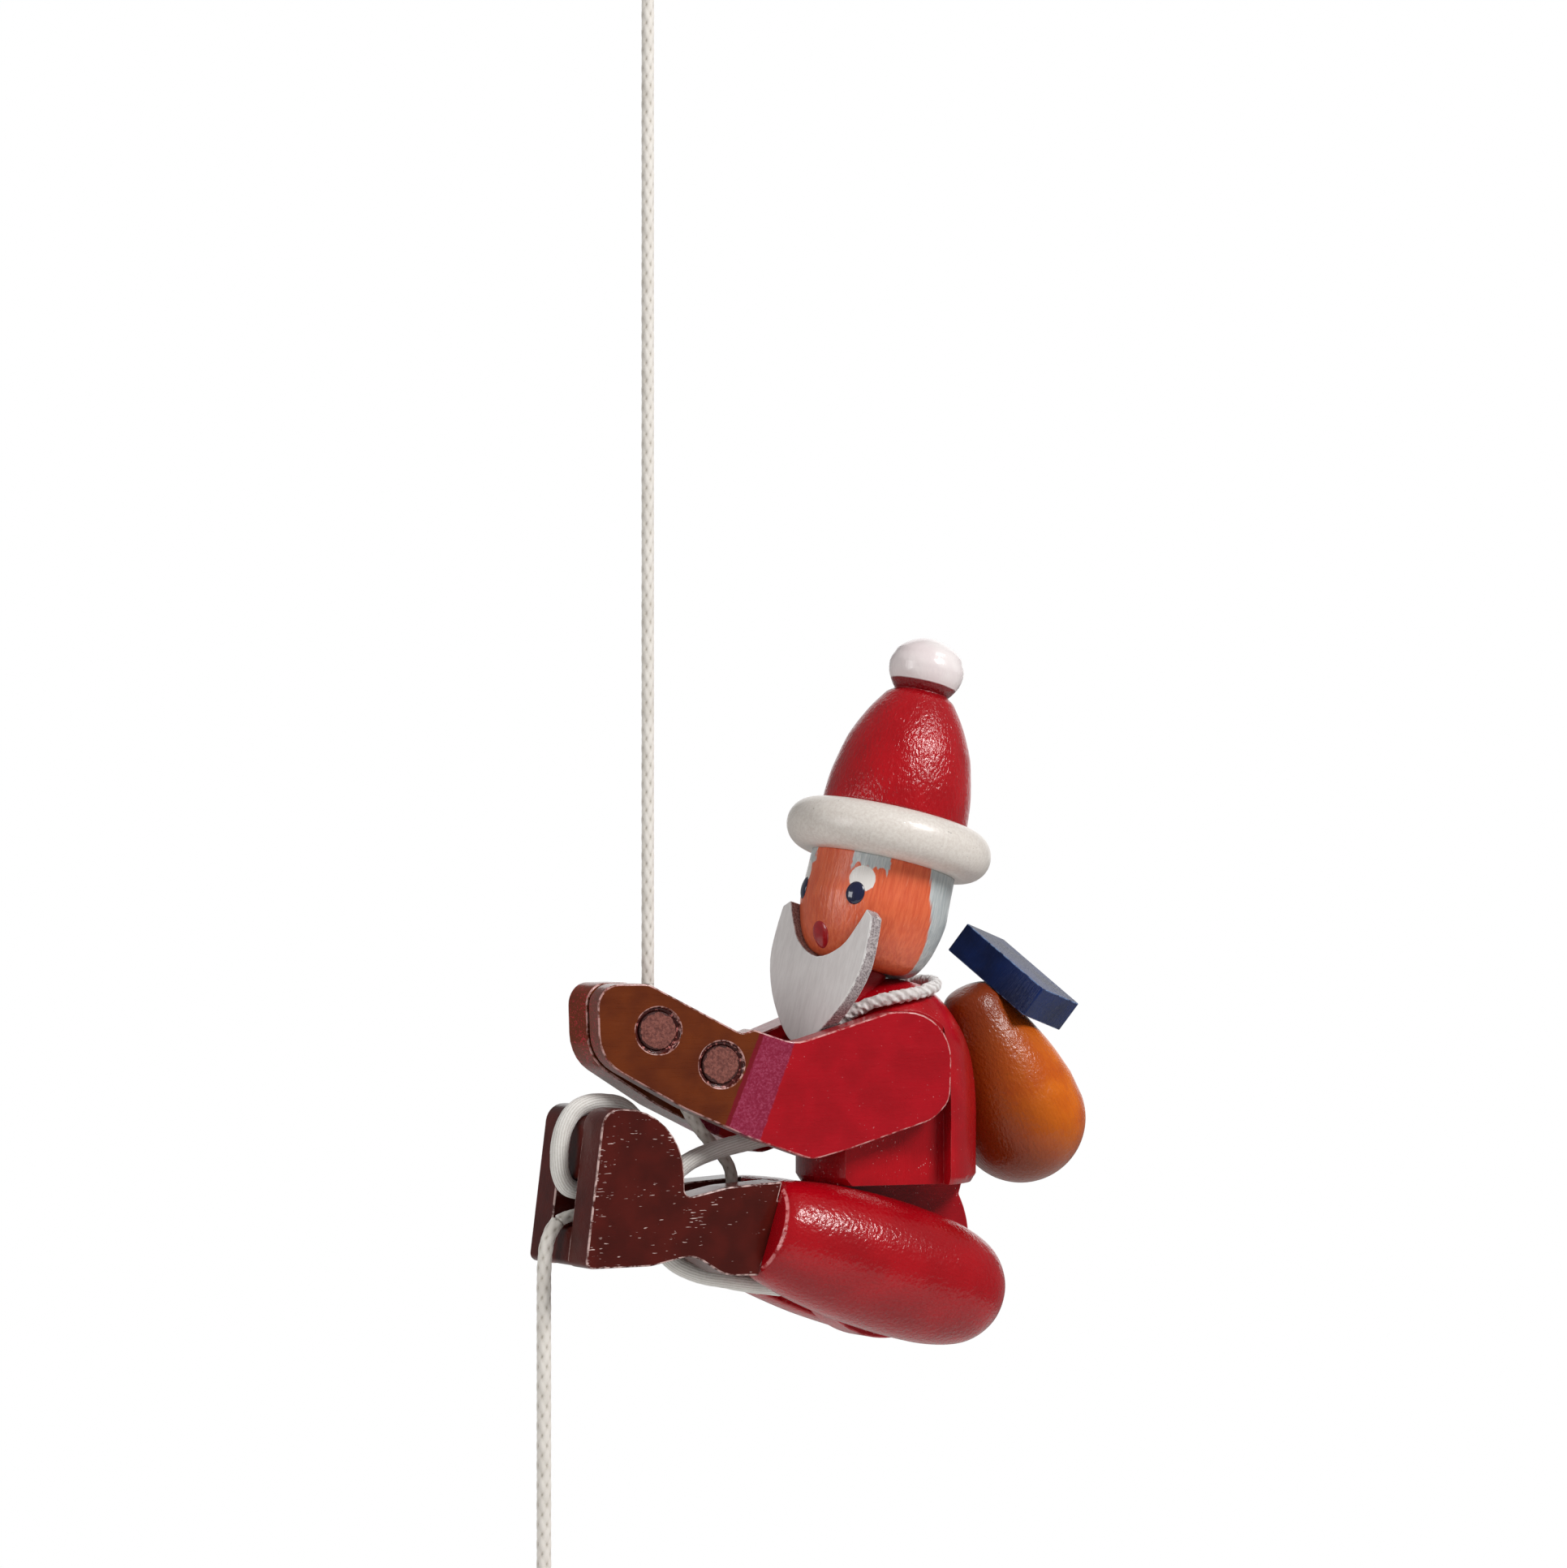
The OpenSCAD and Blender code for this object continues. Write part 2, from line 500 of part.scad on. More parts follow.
module sack() {
    color(AMBER) figure() difference() {
        sack_frame() turn_solid(sack_outline);
        dowel_bore(sack_y - sack_r - 2, 9);
        parcel_bore();
    }
}
module sack_dowel() {
    color(WOOD) figure() translate([0, sack_bore_y + 0.1, sack_z]) rotate([-90, 0, 0])
        cylinder(d = dowel_d, h = 11, $fn = round_fn);
}
module parcel_frame() {
    translate(parcel_at) rotate(parcel_turn) children();
}
module parcel_bore() {
    parcel_frame() translate([0, 0, -parcel_h / 2 - 9.5]) cylinder(d = dowel_d - 1 + 2 * glue_gap,
        h = 12, $fn = round_fn);
}
module parcel() {
    bevel = 0.35;
    color(BLUE) figure() difference() {
        parcel_frame() translate([0, 0, -parcel_h / 2]) linear_extrude(parcel_h)
            polygon(rounded([for (p = [[-1, -1], [1, -1], [1, 1], [-1, 1]])
                [p[0] * parcel_l / 2, p[1] * parcel_w / 2, bevel]]));
        parcel_bore();
    }
}
module parcel_dowel() {
    color(WOOD) figure() parcel_frame() translate([0, 0, -parcel_h / 2 - 9.3])
        cylinder(d = dowel_d - 1, h = 11.6, $fn = round_fn);
}

module arm(side) {
    figure() difference() {
        left_and_right(side) arm_frame() linear_extrude(arm_t) polygon(rounded(arm_outline));
        for (p = [peg_front, peg_rear]) {
            hand_bore(p, hand_peg_r + glue_gap, 40);
            intersection() {
                hand_bore(p, peg_mouth_d / 2, 40);
                left_and_right(side) arm_frame() translate([-5, -40, arm_t - 0.5]) cube([80, 60, 9]);
            }
        }
        elbow_bore(elbow_peg_d / 2 + glue_gap, elbow_peg_l + 2 * glue_gap);
    }
}
elbow_peg_l = 2 * (tip_gap + (elbow_peg[0] - arm_tip_y) * tan(arm_splay) + elbow_seat);
module hand_bore(p, r, l) {
    translate([-l / 2, p[0], p[1]]) rotate([0, 90, 0]) cylinder(r = r, h = l, $fn = round_fn);
}
module elbow_bore(r, l) {
    hand_bore(elbow_peg, r, l);
}
module arm_left() {
    color(RED) arm(1);
}
module arm_right() {
    color(RED) arm(-1);
}
// A hand peg, sanded just below the outer faces of the two arm boards
module hand_peg(p) {
    below = 0.2;
    color(WOOD) figure() difference() {
        hand_bore(p, hand_peg_r, 40);
        for (side = [1, -1]) left_and_right(side) arm_frame() translate([-10, -60, arm_t - below])
            cube([100, 90, 60]);
    }
}
module hand_peg_front() {
    hand_peg(peg_front);
}
module hand_peg_rear() {
    hand_peg(peg_rear);
}
module elbow_peg() {
    color(WOOD) figure() elbow_bore(elbow_peg_d / 2, elbow_peg_l);
}
module elastic_span() {
    color(WHITE) figure() tube(spline(span_route, 2), elastic_d, [1, 0, 0], lead_out = loop_lead);
}

module hip_axle() {
    l = 2 * (thigh_flat + axle_seat);
    color(WOOD) figure() translate([-l / 2, torso_y, hip_z]) rotate([0, 90, 0]) cylinder(d = axle_d,
        h = l, $fn = round_fn);
}
module thigh(side) {
    length = thigh_front + thigh_back;
    color(RED) figure() left_and_right(side) difference() {
        thigh_frame() translate([thigh_x, 0, 0]) turn_solid(turned(thigh_shape, thigh_r, length));
        translate([thigh_flat - 40, 0, -100]) cube([40, 100, 100]);
        translate([0, torso_y, hip_z]) rotate([0, 90, 0]) cylinder(d = axle_d + 2 * glue_gap,
            h = thigh_flat + axle_seat + 0.2, $fn = round_fn);
        thigh_frame() translate([0, -tenon_h / 2 - glue_gap, -1]) cube([spacer_half + boot_t
            + glue_gap, tenon_h + 2 * glue_gap, tenon_l + 1.1]);
    }
}
module thigh_left() {
    thigh(1);
}
module thigh_right() {
    thigh(-1);
}
// The boot's outline, with the tenon that goes into the thigh
module boot(side) {
    up = [sin(thigh_pitch), cos(thigh_pitch)];
    back = [cos(thigh_pitch), -sin(thigh_pitch)];
    face_gap = -0.05 * back;
    tenon = [face_gap + 7.5 * up, face_gap + tenon_h / 2 * up, tenon_l * back + tenon_h / 2 * up,
        tenon_l * back - tenon_h / 2 * up, face_gap - tenon_h / 2 * up, face_gap - 7.4 * up];
    outline = concat(boot_outline, [for (p = tenon) [p[0], p[1], 0]], boot_under);
    color(BOOT_BROWN) figure() left_and_right(side) translate([0, ankle_y, ankle_z])
        board(rounded(outline), spacer_half, boot_t);
}
module boot_left() {
    boot(1);
}
module boot_right() {
    boot(-1);
}
module toe_spacer() {
    color(BOOT_BROWN) figure() translate([0, ankle_y, ankle_z])
        board(rounded(toe_outline), -spacer_half, spacer_t);
}
module heel_spacer() {
    color(BOOT_BROWN) figure() translate([0, ankle_y, ankle_z])
        board(rounded(heel_outline), -spacer_half, spacer_t);
}
module elastic_loop() {
    color(WHITE) figure() translate([0, ankle_y, ankle_z])
        tube(spline(loop_route, 2), elastic_d, [1, 0, 0], lead_in = loop_lead);
}

hanging_loop();
loop_knot();
cord_upper();
torso();
neck();
hip_plate();
head();
beard();
hat_brim();
hat();
hat_dowel();
collar_cord();
sack();
sack_dowel();
parcel();
parcel_dowel();
arm_left();
arm_right();
hand_peg_front();
hand_peg_rear();
elbow_peg();
cord_middle();
elastic_span();
hip_axle();
thigh_left();
thigh_right();
boot_left();
boot_right();
toe_spacer();
heel_spacer();
elastic_loop();
cord_lower();
pull_bead();
end_knot();
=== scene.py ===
"""The looks of the climbing figure toy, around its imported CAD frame.

Metres. +X is the figure's left, -Y its front, +Z up, and the origin is the inside top of the hanging
loop. Heights of the figure's pieces are written as in the part's source, from the top of the hands,
in millimetres, and figure_point() turns them into places in the frame.
"""

import bpy
import numpy as np
from mathutils import Euler, Matrix, Vector


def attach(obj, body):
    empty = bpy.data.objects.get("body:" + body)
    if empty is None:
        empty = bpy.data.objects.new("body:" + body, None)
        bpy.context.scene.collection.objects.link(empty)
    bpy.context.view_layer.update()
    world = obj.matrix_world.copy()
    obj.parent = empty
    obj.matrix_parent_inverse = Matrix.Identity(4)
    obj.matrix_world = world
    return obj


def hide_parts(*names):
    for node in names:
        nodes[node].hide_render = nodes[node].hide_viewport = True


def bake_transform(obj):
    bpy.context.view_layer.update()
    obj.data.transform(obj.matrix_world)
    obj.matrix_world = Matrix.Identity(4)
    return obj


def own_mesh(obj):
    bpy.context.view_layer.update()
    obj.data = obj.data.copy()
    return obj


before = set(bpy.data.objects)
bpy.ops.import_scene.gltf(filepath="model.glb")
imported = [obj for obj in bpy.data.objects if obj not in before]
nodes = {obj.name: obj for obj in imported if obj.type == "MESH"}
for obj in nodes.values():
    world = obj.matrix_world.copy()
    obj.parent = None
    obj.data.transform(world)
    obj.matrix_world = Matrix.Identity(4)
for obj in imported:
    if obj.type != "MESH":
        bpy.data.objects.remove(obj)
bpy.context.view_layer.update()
MM = 0.001
HANG_DROP = 180.0  # from the hanging point down to the top of the hands


# Numbers and places

def srgb(red, green, blue):
    """A colour as the eye reads it, 0 to 255, as the linear value that a shader takes."""
    c = np.array([red, green, blue]) / 255.0
    linear = np.where(c <= 0.04045, c / 12.92, ((c + 0.055) / 1.055) ** 2.4)
    return (*linear.tolist(), 1.0)


def figure_point(points):
    """Places on the figure, in millimetres from the top of the hands, as places in the frame."""
    return (np.asarray(points, float) - [0, 0, HANG_DROP]) * MM


def turn(axis, degrees):
    """A turn about one axis, as 3 x 3 numbers."""
    return np.array(Matrix.Rotation(np.radians(degrees), 3, axis))


class Place:
    """A piece's own axes: where they start, in the frame, and how they are turned."""

    def __init__(self, origin, rotation=np.eye(3)):
        self.origin = figure_point(origin)
        self.rotation = np.asarray(rotation)

    def out(self, local):
        """Local millimetres as places in the frame: turned, scaled to metres and moved."""
        return np.asarray(local) @ self.rotation.T * MM + self.origin


def wobble(points, size, seed=0):
    """Smooth uneven height from -1 to 1: hashed values on a lattice of the given size, blended by the
    smooth step between the eight corners of each cell."""
    q = np.asarray(points) / size + 31.7 * (seed + 1)
    cell = np.floor(q).astype(np.int64)
    t = q - cell
    t = t * t * (3 - 2 * t)
    total = np.zeros(q.shape[:-1])
    for corner in range(8):
        step = np.array([corner & 1, corner >> 1 & 1, corner >> 2 & 1])
        c = cell + step
        h = (c[..., 0] * 73856093 ^ c[..., 1] * 19349663 ^ c[..., 2] * 83492791) + seed * 2654435
        h = (h ^ h >> 13) * 1274126177 & 0xFFFFFFFF
        h = (h ^ h >> 15) * 461845907 & 0xFFFFFFFF
        value = (h ^ h >> 16) / 2.0**31 - 1
        total += np.where(step, t, 1 - t).prod(-1) * value
    return total


def length_of(route):
    """The sum of the steps from each point of a route to the next."""
    return float(np.linalg.norm(np.diff(route, axis=0), axis=1).sum())


def even(route, count):
    """The same route, cut into count even stretches by the way run along it."""
    run = np.r_[0, np.cumsum(np.linalg.norm(np.diff(route, axis=0), axis=1))]
    t = np.linspace(0, run[-1], count + 1)
    return np.stack([np.interp(t, run, route[:, k]) for k in range(3)], 1)


def smooth_line(points, count):
    """The part's own smooth line through its points, cut into count even stretches. Each stretch
    between two points is a cubic that leaves them along the line between their neighbours."""
    p = np.asarray(points, float)
    q = np.vstack([p[:1], p, p[-1:]])
    t = np.linspace(0, 1, 40, endpoint=False)[None, :, None]
    a, b, c, d = (q[i:len(q) - 3 + i, None] for i in range(4))
    fine = 0.5 * (2 * b + (c - a) * t + (2 * a - 5 * b + 4 * c - d) * t**2
                  + (3 * b - a - 3 * c + d) * t**3)
    return even(np.vstack([fine.reshape(-1, 3), p[-1:]]), count)


# Surfaces

def skin(name, grid, closed=False, ends=(None, None), values=None):
    """A closed skin over a grid of places. Rows follow the piece's length and each row runs once
    round it, so each cell is a four-sided face. Open ends are closed by a fan to a middle point.
    Values are numbers for the grid's points, which a material reads by their name."""
    rows, around = grid.shape[:2]
    last = rows if closed else rows - 1
    i, j = np.meshgrid(np.arange(last), np.arange(around), indexing="ij")
    up, beside = (i + 1) % rows, (j + 1) % around
    faces = np.stack([i * around + j, i * around + beside, up * around + beside, up * around + j], -1)
    faces = faces.reshape(-1, 4).tolist()
    places = grid.reshape(-1, 3)
    if not closed:
        tips = [grid[k].mean(0) if e is None else np.asarray(e) for k, e in zip((0, -1), ends)]
        places = np.vstack([places, tips])
        j = np.arange(around)
        beside = (j + 1) % around
        first, base = rows * around, (rows - 1) * around
        faces += np.stack([np.full(around, first), beside, j], 1).tolist()
        faces += np.stack([np.full(around, first + 1), base + j, base + beside], 1).tolist()
    mesh = bpy.data.meshes.new(name)
    mesh.from_pydata(places.tolist(), [], faces)
    mesh.polygons.foreach_set("use_smooth", [True] * len(mesh.polygons))
    for key, value in (values or {}).items():
        v = np.zeros(len(places), np.float32)
        v[:rows * around] = np.asarray(value, np.float32).ravel()
        if not closed:
            v[-2], v[-1] = v[:around].mean(), v[(rows - 1) * around:rows * around].mean()
        mesh.attributes.new(key, "FLOAT", "POINT").data.foreach_set("value", v)
    mesh.validate()
    piece = bpy.data.objects.new(name, mesh)
    bpy.context.scene.collection.objects.link(piece)
    return piece


def carried(name, route, radius, side, around, closed=False, values=None):
    """A profile carried along a route: the ring at each point lies square to the route, its first
    spoke is the side direction laid into the ring, and radius gives each spoke's length."""
    route = np.asarray(route, float)
    if closed:
        along = np.roll(route, -1, 0) - np.roll(route, 1, 0)
    else:
        along = np.gradient(route, axis=0)
    along /= np.linalg.norm(along, axis=1, keepdims=True)
    side = np.broadcast_to(np.asarray(side, float), along.shape)
    u = side - (side * along).sum(1, keepdims=True) * along
    u /= np.linalg.norm(u, axis=1, keepdims=True)
    v = np.cross(along, u)
    angle = np.linspace(0, 2 * np.pi, around, endpoint=False)
    spokes = np.cos(angle)[None, :, None] * u[:, None] + np.sin(angle)[None, :, None] * v[:, None]
    grid = route[:, None] + np.broadcast_to(radius, (len(route), around))[..., None] * spokes
    return skin(name, grid, closed, values=values)


def braid(run, angle, lay):
    """Height of a braided cord, 0 to 1, by the way along it and the angle round it: two sets of
    strands wind round in opposite directions, one turn to a lay. Each strand is a half round ridge
    across its width, and a cosine along it dips it under the other set and lifts it over in turn."""
    strands, slim, lift = 4, 2.15, 0.35
    a = strands * (angle / (2 * np.pi) - run / lay)
    b = strands * (angle / (2 * np.pi) + run / lay)

    def ridge(x):
        """Half round across each strand, whose middles are the whole numbers."""
        return np.sqrt(np.clip(1 - (slim * (x - np.round(x))) ** 2, 0, 1))

    over = lift * np.cos(np.pi * (np.round(a) + b))
    under = -lift * np.cos(np.pi * (np.round(b) + a))
    return np.clip(np.maximum(ridge(a) + over, ridge(b) + under) / (1 + lift), 0, 1)


def braided(name, route, d, side, lay=11 * MM, around=32):
    """A braided cord along a route: at its ridges it has the thickness d, and between the strands
    it falls in by a share of that."""
    rings_per_mm, fall = 4.2, 0.26
    route = even(route, int(length_of(route) / MM * rings_per_mm))
    run = np.linspace(0, length_of(route), len(route))[:, None]
    angle = np.linspace(0, 2 * np.pi, around, endpoint=False)[None]
    height = braid(run, angle, lay)
    radius = d / 2 * (1 - fall * (1 - height))
    return carried(name, route, radius, side, around, values={"strand": height})


def revolved(name, outline, place, around=128):
    """An outline of (radius, height) turned about its own upright axis. Its first and last points
    lie on the axis and are the poles."""
    r, h = np.asarray(outline, float).T
    angle = np.linspace(0, 2 * np.pi, around, endpoint=False)
    ring = np.stack([np.cos(angle), np.sin(angle)], -1)
    grid = np.concatenate([r[1:-1, None, None] * ring[None],
                           np.broadcast_to(h[1:-1, None, None], (len(r) - 2, around, 1))], -1)
    ends = [place.out([0, 0, h[0]]), place.out([0, 0, h[-1]])]
    return skin(name, place.out(grid), ends=ends)


# Materials

class Finish:
    """One material and the nodes that make it. Its patterns read the piece's own places and the way
    its surface faces, both as they are at rest in the frame."""

    def __init__(self, name):
        self.material = bpy.data.materials.new(name)
        self.material.use_nodes = True
        self.tree = self.material.node_tree
        self.shader = self.tree.nodes["Principled BSDF"]
        self.own = self.node("ShaderNodeTexCoord").outputs["Object"]
        self.facing = self.own.node.outputs["Normal"]

    def node(self, kind, inputs=None, **settings):
        """A new node: settings are its own, and inputs are links or plain values."""
        n = self.tree.nodes.new(kind)
        for key, value in settings.items():
            setattr(n, key, value)
        for key, value in (inputs or {}).items():
            if isinstance(value, bpy.types.NodeSocket):
                self.tree.links.new(value, n.inputs[key])
            else:
                n.inputs[key].default_value = value
        return n

    def sum(self, operation, a, b=0.0, c=0.0):
        """One step of arithmetic, named as Blender's Math node names it."""
        return self.node("ShaderNodeMath", {0: a, 1: b, 2: c}, operation=operation).outputs[0]

    def step(self, value, low, high):
        """0 below low and 1 above high, smooth between."""
        n = self.node("ShaderNodeMapRange", {"Value": value, "From Min": low, "From Max": high},
                      interpolation_type="SMOOTHSTEP")
        return n.outputs[0]

    def local(self, place, places=None):
        """Places, or the piece's own ones, in the axes of a Place and in millimetres."""
        euler = Matrix(place.rotation.tolist()).to_euler()
        inputs = {"Vector": self.own if places is None else places, "Location": place.origin.tolist(),
                  "Rotation": euler, "Scale": (MM, MM, MM)}
        return self.node("ShaderNodeMapping", inputs, vector_type="TEXTURE").outputs[0]

    def millimetres(self):
        """The piece's own places in the frame's axes, in millimetres."""
        return self.stretched(self.own, (MM, MM, MM))

    def split(self, vector):
        """The three numbers of a vector."""
        return self.node("ShaderNodeSeparateXYZ", {0: vector}).outputs

    def stretched(self, vector, sizes):
        """The same places, drawn out so that a pattern of size 1 becomes sizes along X, Y and Z."""
        n = self.node("ShaderNodeMapping", {"Vector": vector, "Scale": [1 / s for s in sizes]})
        return n.outputs[0]

    def noise(self, vector, size=1.0, detail=2.0, rough=0.5, warp=0.0):
        """Soft noise, from about 0.3 to 0.7, whose largest spots have the given size."""
        n = self.node("ShaderNodeTexNoise", {"Vector": vector, "Scale": 1 / size, "Detail": detail,
                                             "Roughness": rough, "Distortion": warp})
        return n.outputs[0]

    def mix(self, share, a, b):
        """Colour a at share 0, and b at share 1."""
        n = self.node("ShaderNodeMix", {"Factor": share, 6: a, 7: b}, data_type="RGBA")
        return n.outputs[2]

    def bump(self, height, depth, under=None):
        """The height, times depth in metres, as a bump on top of another."""
        inputs = {"Height": height, "Distance": depth, "Strength": 1.0}
        if under is not None:
            inputs["Normal"] = under
        return self.node("ShaderNodeBump", inputs).outputs[0]

    def pale_broken_line(self, at, paint, share, pale):
        """Paint paled in a broken line to a paler colour, to the share given: wear and a painted
        highlight along edges, a painted highlight on rims.
        """
        gaps = self.step(self.noise(at, 1.3, 3, 0.6), 0.38, 0.6)
        return self.mix(self.sum("MULTIPLY", gaps, share), paint, srgb(*pale))

    def turned_to(self, direction):
        """1 where the surface faces that way, 0 where it lies along it and -1 behind."""
        inputs = {0: self.facing, 1: np.asarray(direction, float).tolist()}
        return self.node("ShaderNodeVectorMath", inputs, operation="DOT_PRODUCT").outputs["Value"]

    def attribute(self, name):
        """A value that the mesh carries at each point."""
        return self.node("ShaderNodeAttribute", attribute_name=name).outputs["Fac"]

    def shade(self, **inputs):
        """Sets the shader's sockets: a link where the value is a node's, a plain value elsewhere."""
        if "Normal" in inputs:
            inputs["Coat_Normal"] = inputs["Normal"]
        for key, value in inputs.items():
            socket = self.shader.inputs[key.replace("_", " ")]
            if isinstance(value, bpy.types.NodeSocket):
                self.tree.links.new(value, socket)
            else:
                socket.default_value = value
        return self.material


# Camera

# The picture's right and the way to the camera, level, and the place that the camera looks at.

RIGHT = np.array([0.5, 0.8660254, 0])
TO_CAMERA = np.array([0.8660254, -0.5, 0])
UP = np.array([0, 0, 1])
AIM = np.array([0, 0.0241, -0.1492])
CAMERA_AWAY, LENS, SENSOR = 0.87, 128.1, 36


def faced(thing, place):
    """Puts a camera or a lamp at a place, turned towards the aim."""
    thing.location = place
    thing.rotation_euler = (Vector(AIM) - thing.location).to_track_quat("-Z", "Y").to_euler()
    bpy.context.scene.collection.objects.link(thing)


camera_data = bpy.data.cameras.new("camera")
camera_data.lens = LENS
camera_data.sensor_width = SENSOR
camera = bpy.data.objects.new("camera", camera_data)
faced(camera, AIM + CAMERA_AWAY * TO_CAMERA)
bpy.context.scene.camera = camera


# Cords

# Thicknesses, and heights under the hanging point, in millimetres. The points of the routes are the
# part's own, from the top of the hands, and those of the elastic's loop are from the ankle.

CORD_D, PULL_D, ELASTIC_D = 2.0, 2.3, 2.9
LOOP_CORD_D, LOOP_R = 0.94 * CORD_D, 3.5
LOOP_FOOT, UPPER_TOP = -18, -24
KNOT_H, KNOT_W = 6, 5.4
PULL_L, PULL_Y = 56, -18.1
BEAD_R, BEAD_L, BEAD_BORE, BEAD_PLAY = 5, 9, 1.3, 0.05
ANKLE = np.array([0, 16.524, -37.622])
PULL_TOP = np.array([0, -15.5, -35.8])
MIDDLE = [[0, 0, 0], [0, 0.4, -2.2], [0, 1.8, -4.7], [0, 2.8, -7], [0, 3.5, -9.6], [0, 4.2, -12.4],
          [0, 5, -15.4], [-0.3, 6.5, -18.4], [-0.8, 8.3, -21], [-1.2, 10.6, -23.6],
          [-1.2, 13.2, -26.2], [-1.2, 15.1, -28.8], [-1.2, 15.4, -31.8], [-1, 13.8, -34],
          [-0.6, 11, -34.9], [0.2, 7, -35], [1, 3, -35.1], [1, 0, -35.1], [0.5, -5, -35.1],
          [0, -10, -35.1], [0, -13.4, -35.1], PULL_TOP]
LOWER = [PULL_TOP + [0, -0.125, -0.083], [0, -16.8, -37.4], [0, -17.6, -39.6], [0, -17.9, -42.2],
         [0, -18, -46], [0, -18, -60], [0, -18, -75], [0, -18, PULL_TOP[2] - PULL_L]]
SPAN = [[1.5, 20.7, -24], [1.5, 16, -24.8], [1.5, 11, -25.8], [1.6, 6.5, -27.3], [1.6, 3.4, -29.4],
        [1.6, 1.8, -30.7], [1.6, 0.2, -31.3]]
LOOP = [[1.6, -16.5, 6.4], [1.2, -19.5, 6.2], [0.6, -23.5, 6.2], [0, -27.5, 6.3], [0, -30.3, 6.9],
        [0, -31.6, 8.8], [0, -31.9, 11.2], [0, -31.7, 13.8], [0, -30.9, 16.4], [0, -29.2, 18.6],
        [0, -26.7, 19.6], [0, -23.8, 19.6], [-0.3, -21.1, 19], [-0.8, -18.7, 17.3],
        [-1.2, -16.8, 15], [-1.6, -15.4, 12.2], [-1.7, -14.6, 9], [-1.7, -14, 5], [-1.7, -13.9, 1],
        [-1.6, -13.5, -2.4], [-1, -11.5, -5.3], [-0.3, -7.5, -7.3], [0, -3, -8.3], [0, 2, -9.3],
        [0, 7, -10]]


def wound_knot(name, top):
    """A barrel knot: the cord winds round itself in close turns. Its line leaves the axis, follows
    a circle of even drop for three turns and comes back to the axis."""
    turns, swing_in, drop_in = 3.3, 0.14, 0.06
    t = np.linspace(0, 1, 240)
    swing = np.clip(np.minimum(t, 1 - t) / swing_in, 0, 1)
    swing = swing * swing * (3 - 2 * swing)
    r = (KNOT_W - CORD_D) / 2 * swing
    angle = 2 * np.pi * turns * t
    drop = CORD_D / 2 + (KNOT_H - CORD_D) * np.clip((t - drop_in) / (1 - 2 * drop_in), 0, 1)
    line = np.stack([r * np.cos(angle), r * np.sin(angle), -drop], 1) * MM + top
    return braided(name, line, CORD_D * MM * 0.98, (0.3, 1, 0.2), lay=9 * MM, around=24)


def hanging_loop():
    """The loop at the cord's top: up one side, round a bow of a circle and down the other side.
    The bow's middle is as far under the origin as lets the cord's inner side pass through it."""
    foot = CORD_D / 2
    leg = [[foot, 0, LOOP_FOOT], [foot, 0, LOOP_FOOT + 1.5], [foot + 0.9, 0, LOOP_FOOT + 4]]
    a = np.radians(np.arange(-40, 221, 20))
    middle = CORD_D / 2 - LOOP_R
    bow = np.stack([LOOP_R * np.cos(a), 0 * a, middle + LOOP_R * np.sin(a)], 1)
    line = np.vstack([leg, bow, [[-x, y, z] for x, y, z in leg[::-1]]])
    return braided("loop_cord", smooth_line(line, 300) * MM, LOOP_CORD_D * MM, (0, 1, 0))


def upper_cord():
    """The straight cord from the loop's knot down to the hands, with its route."""
    z = np.linspace(UPPER_TOP, -HANG_DROP, 320)
    route = np.stack([0 * z, 0 * z, z], 1) * MM
    return braided("upper_cord", route, CORD_D * MM, (1, 0, 0)), route


def route_of(points, count=240):
    """A smooth line through points on the figure, as places in the frame."""
    return figure_point(smooth_line(points, count))


def elastic(name, points):
    """A covered elastic: a round core under fine lengthwise yarns that stand out a little, unevenly.
    The yarns are a cosine round the core, turned slowly along it."""
    yarns, twist, around = 21, 0.9, 64
    core, rise, fuzz, spot = 0.955, 0.03, 0.02, 0.7
    route = route_of(points, 260)
    run = np.linspace(0, length_of(route), len(route))[:, None] / MM
    angle = np.linspace(0, 2 * np.pi, around, endpoint=False)[None]
    yarn = 0.5 + 0.5 * np.cos(yarns * angle + run * twist)
    places = np.stack(np.broadcast_arrays(run, np.cos(angle) * 1.4, np.sin(angle) * 1.4), -1)
    radius = ELASTIC_D / 2 * MM * (core + rise * yarn + fuzz * wobble(places, spot, 5))
    return carried(name, route, radius, (1, 0, 0), around, values={"strand": yarn})


top_loop = hanging_loop()
top_knot = wound_knot("top_knot", np.array([0, 0, LOOP_FOOT * MM]))
hung_cord, hung_route = upper_cord()
inner_cord = braided("inner_cord", route_of(MIDDLE), CORD_D * MM, (1, 0, 0))
lower_route = route_of(LOWER)
pull_line = braided("pull_line", lower_route, PULL_D * MM, (1, 0, 0), lay=12 * MM)
bead_top = PULL_TOP[2] - PULL_L - BEAD_PLAY
pull_knot = wound_knot("pull_knot", figure_point([0, PULL_Y, bead_top - BEAD_L - BEAD_PLAY]))
stretched_elastic = elastic("elastic_span_cord", SPAN)
toe_elastic = elastic("elastic_toe_loop", np.array(LOOP) + ANKLE)


# Turned pieces

# The torso's place and size are the part's own. A shape's pairs are shares of its radius and of its
# height, from its foot up.

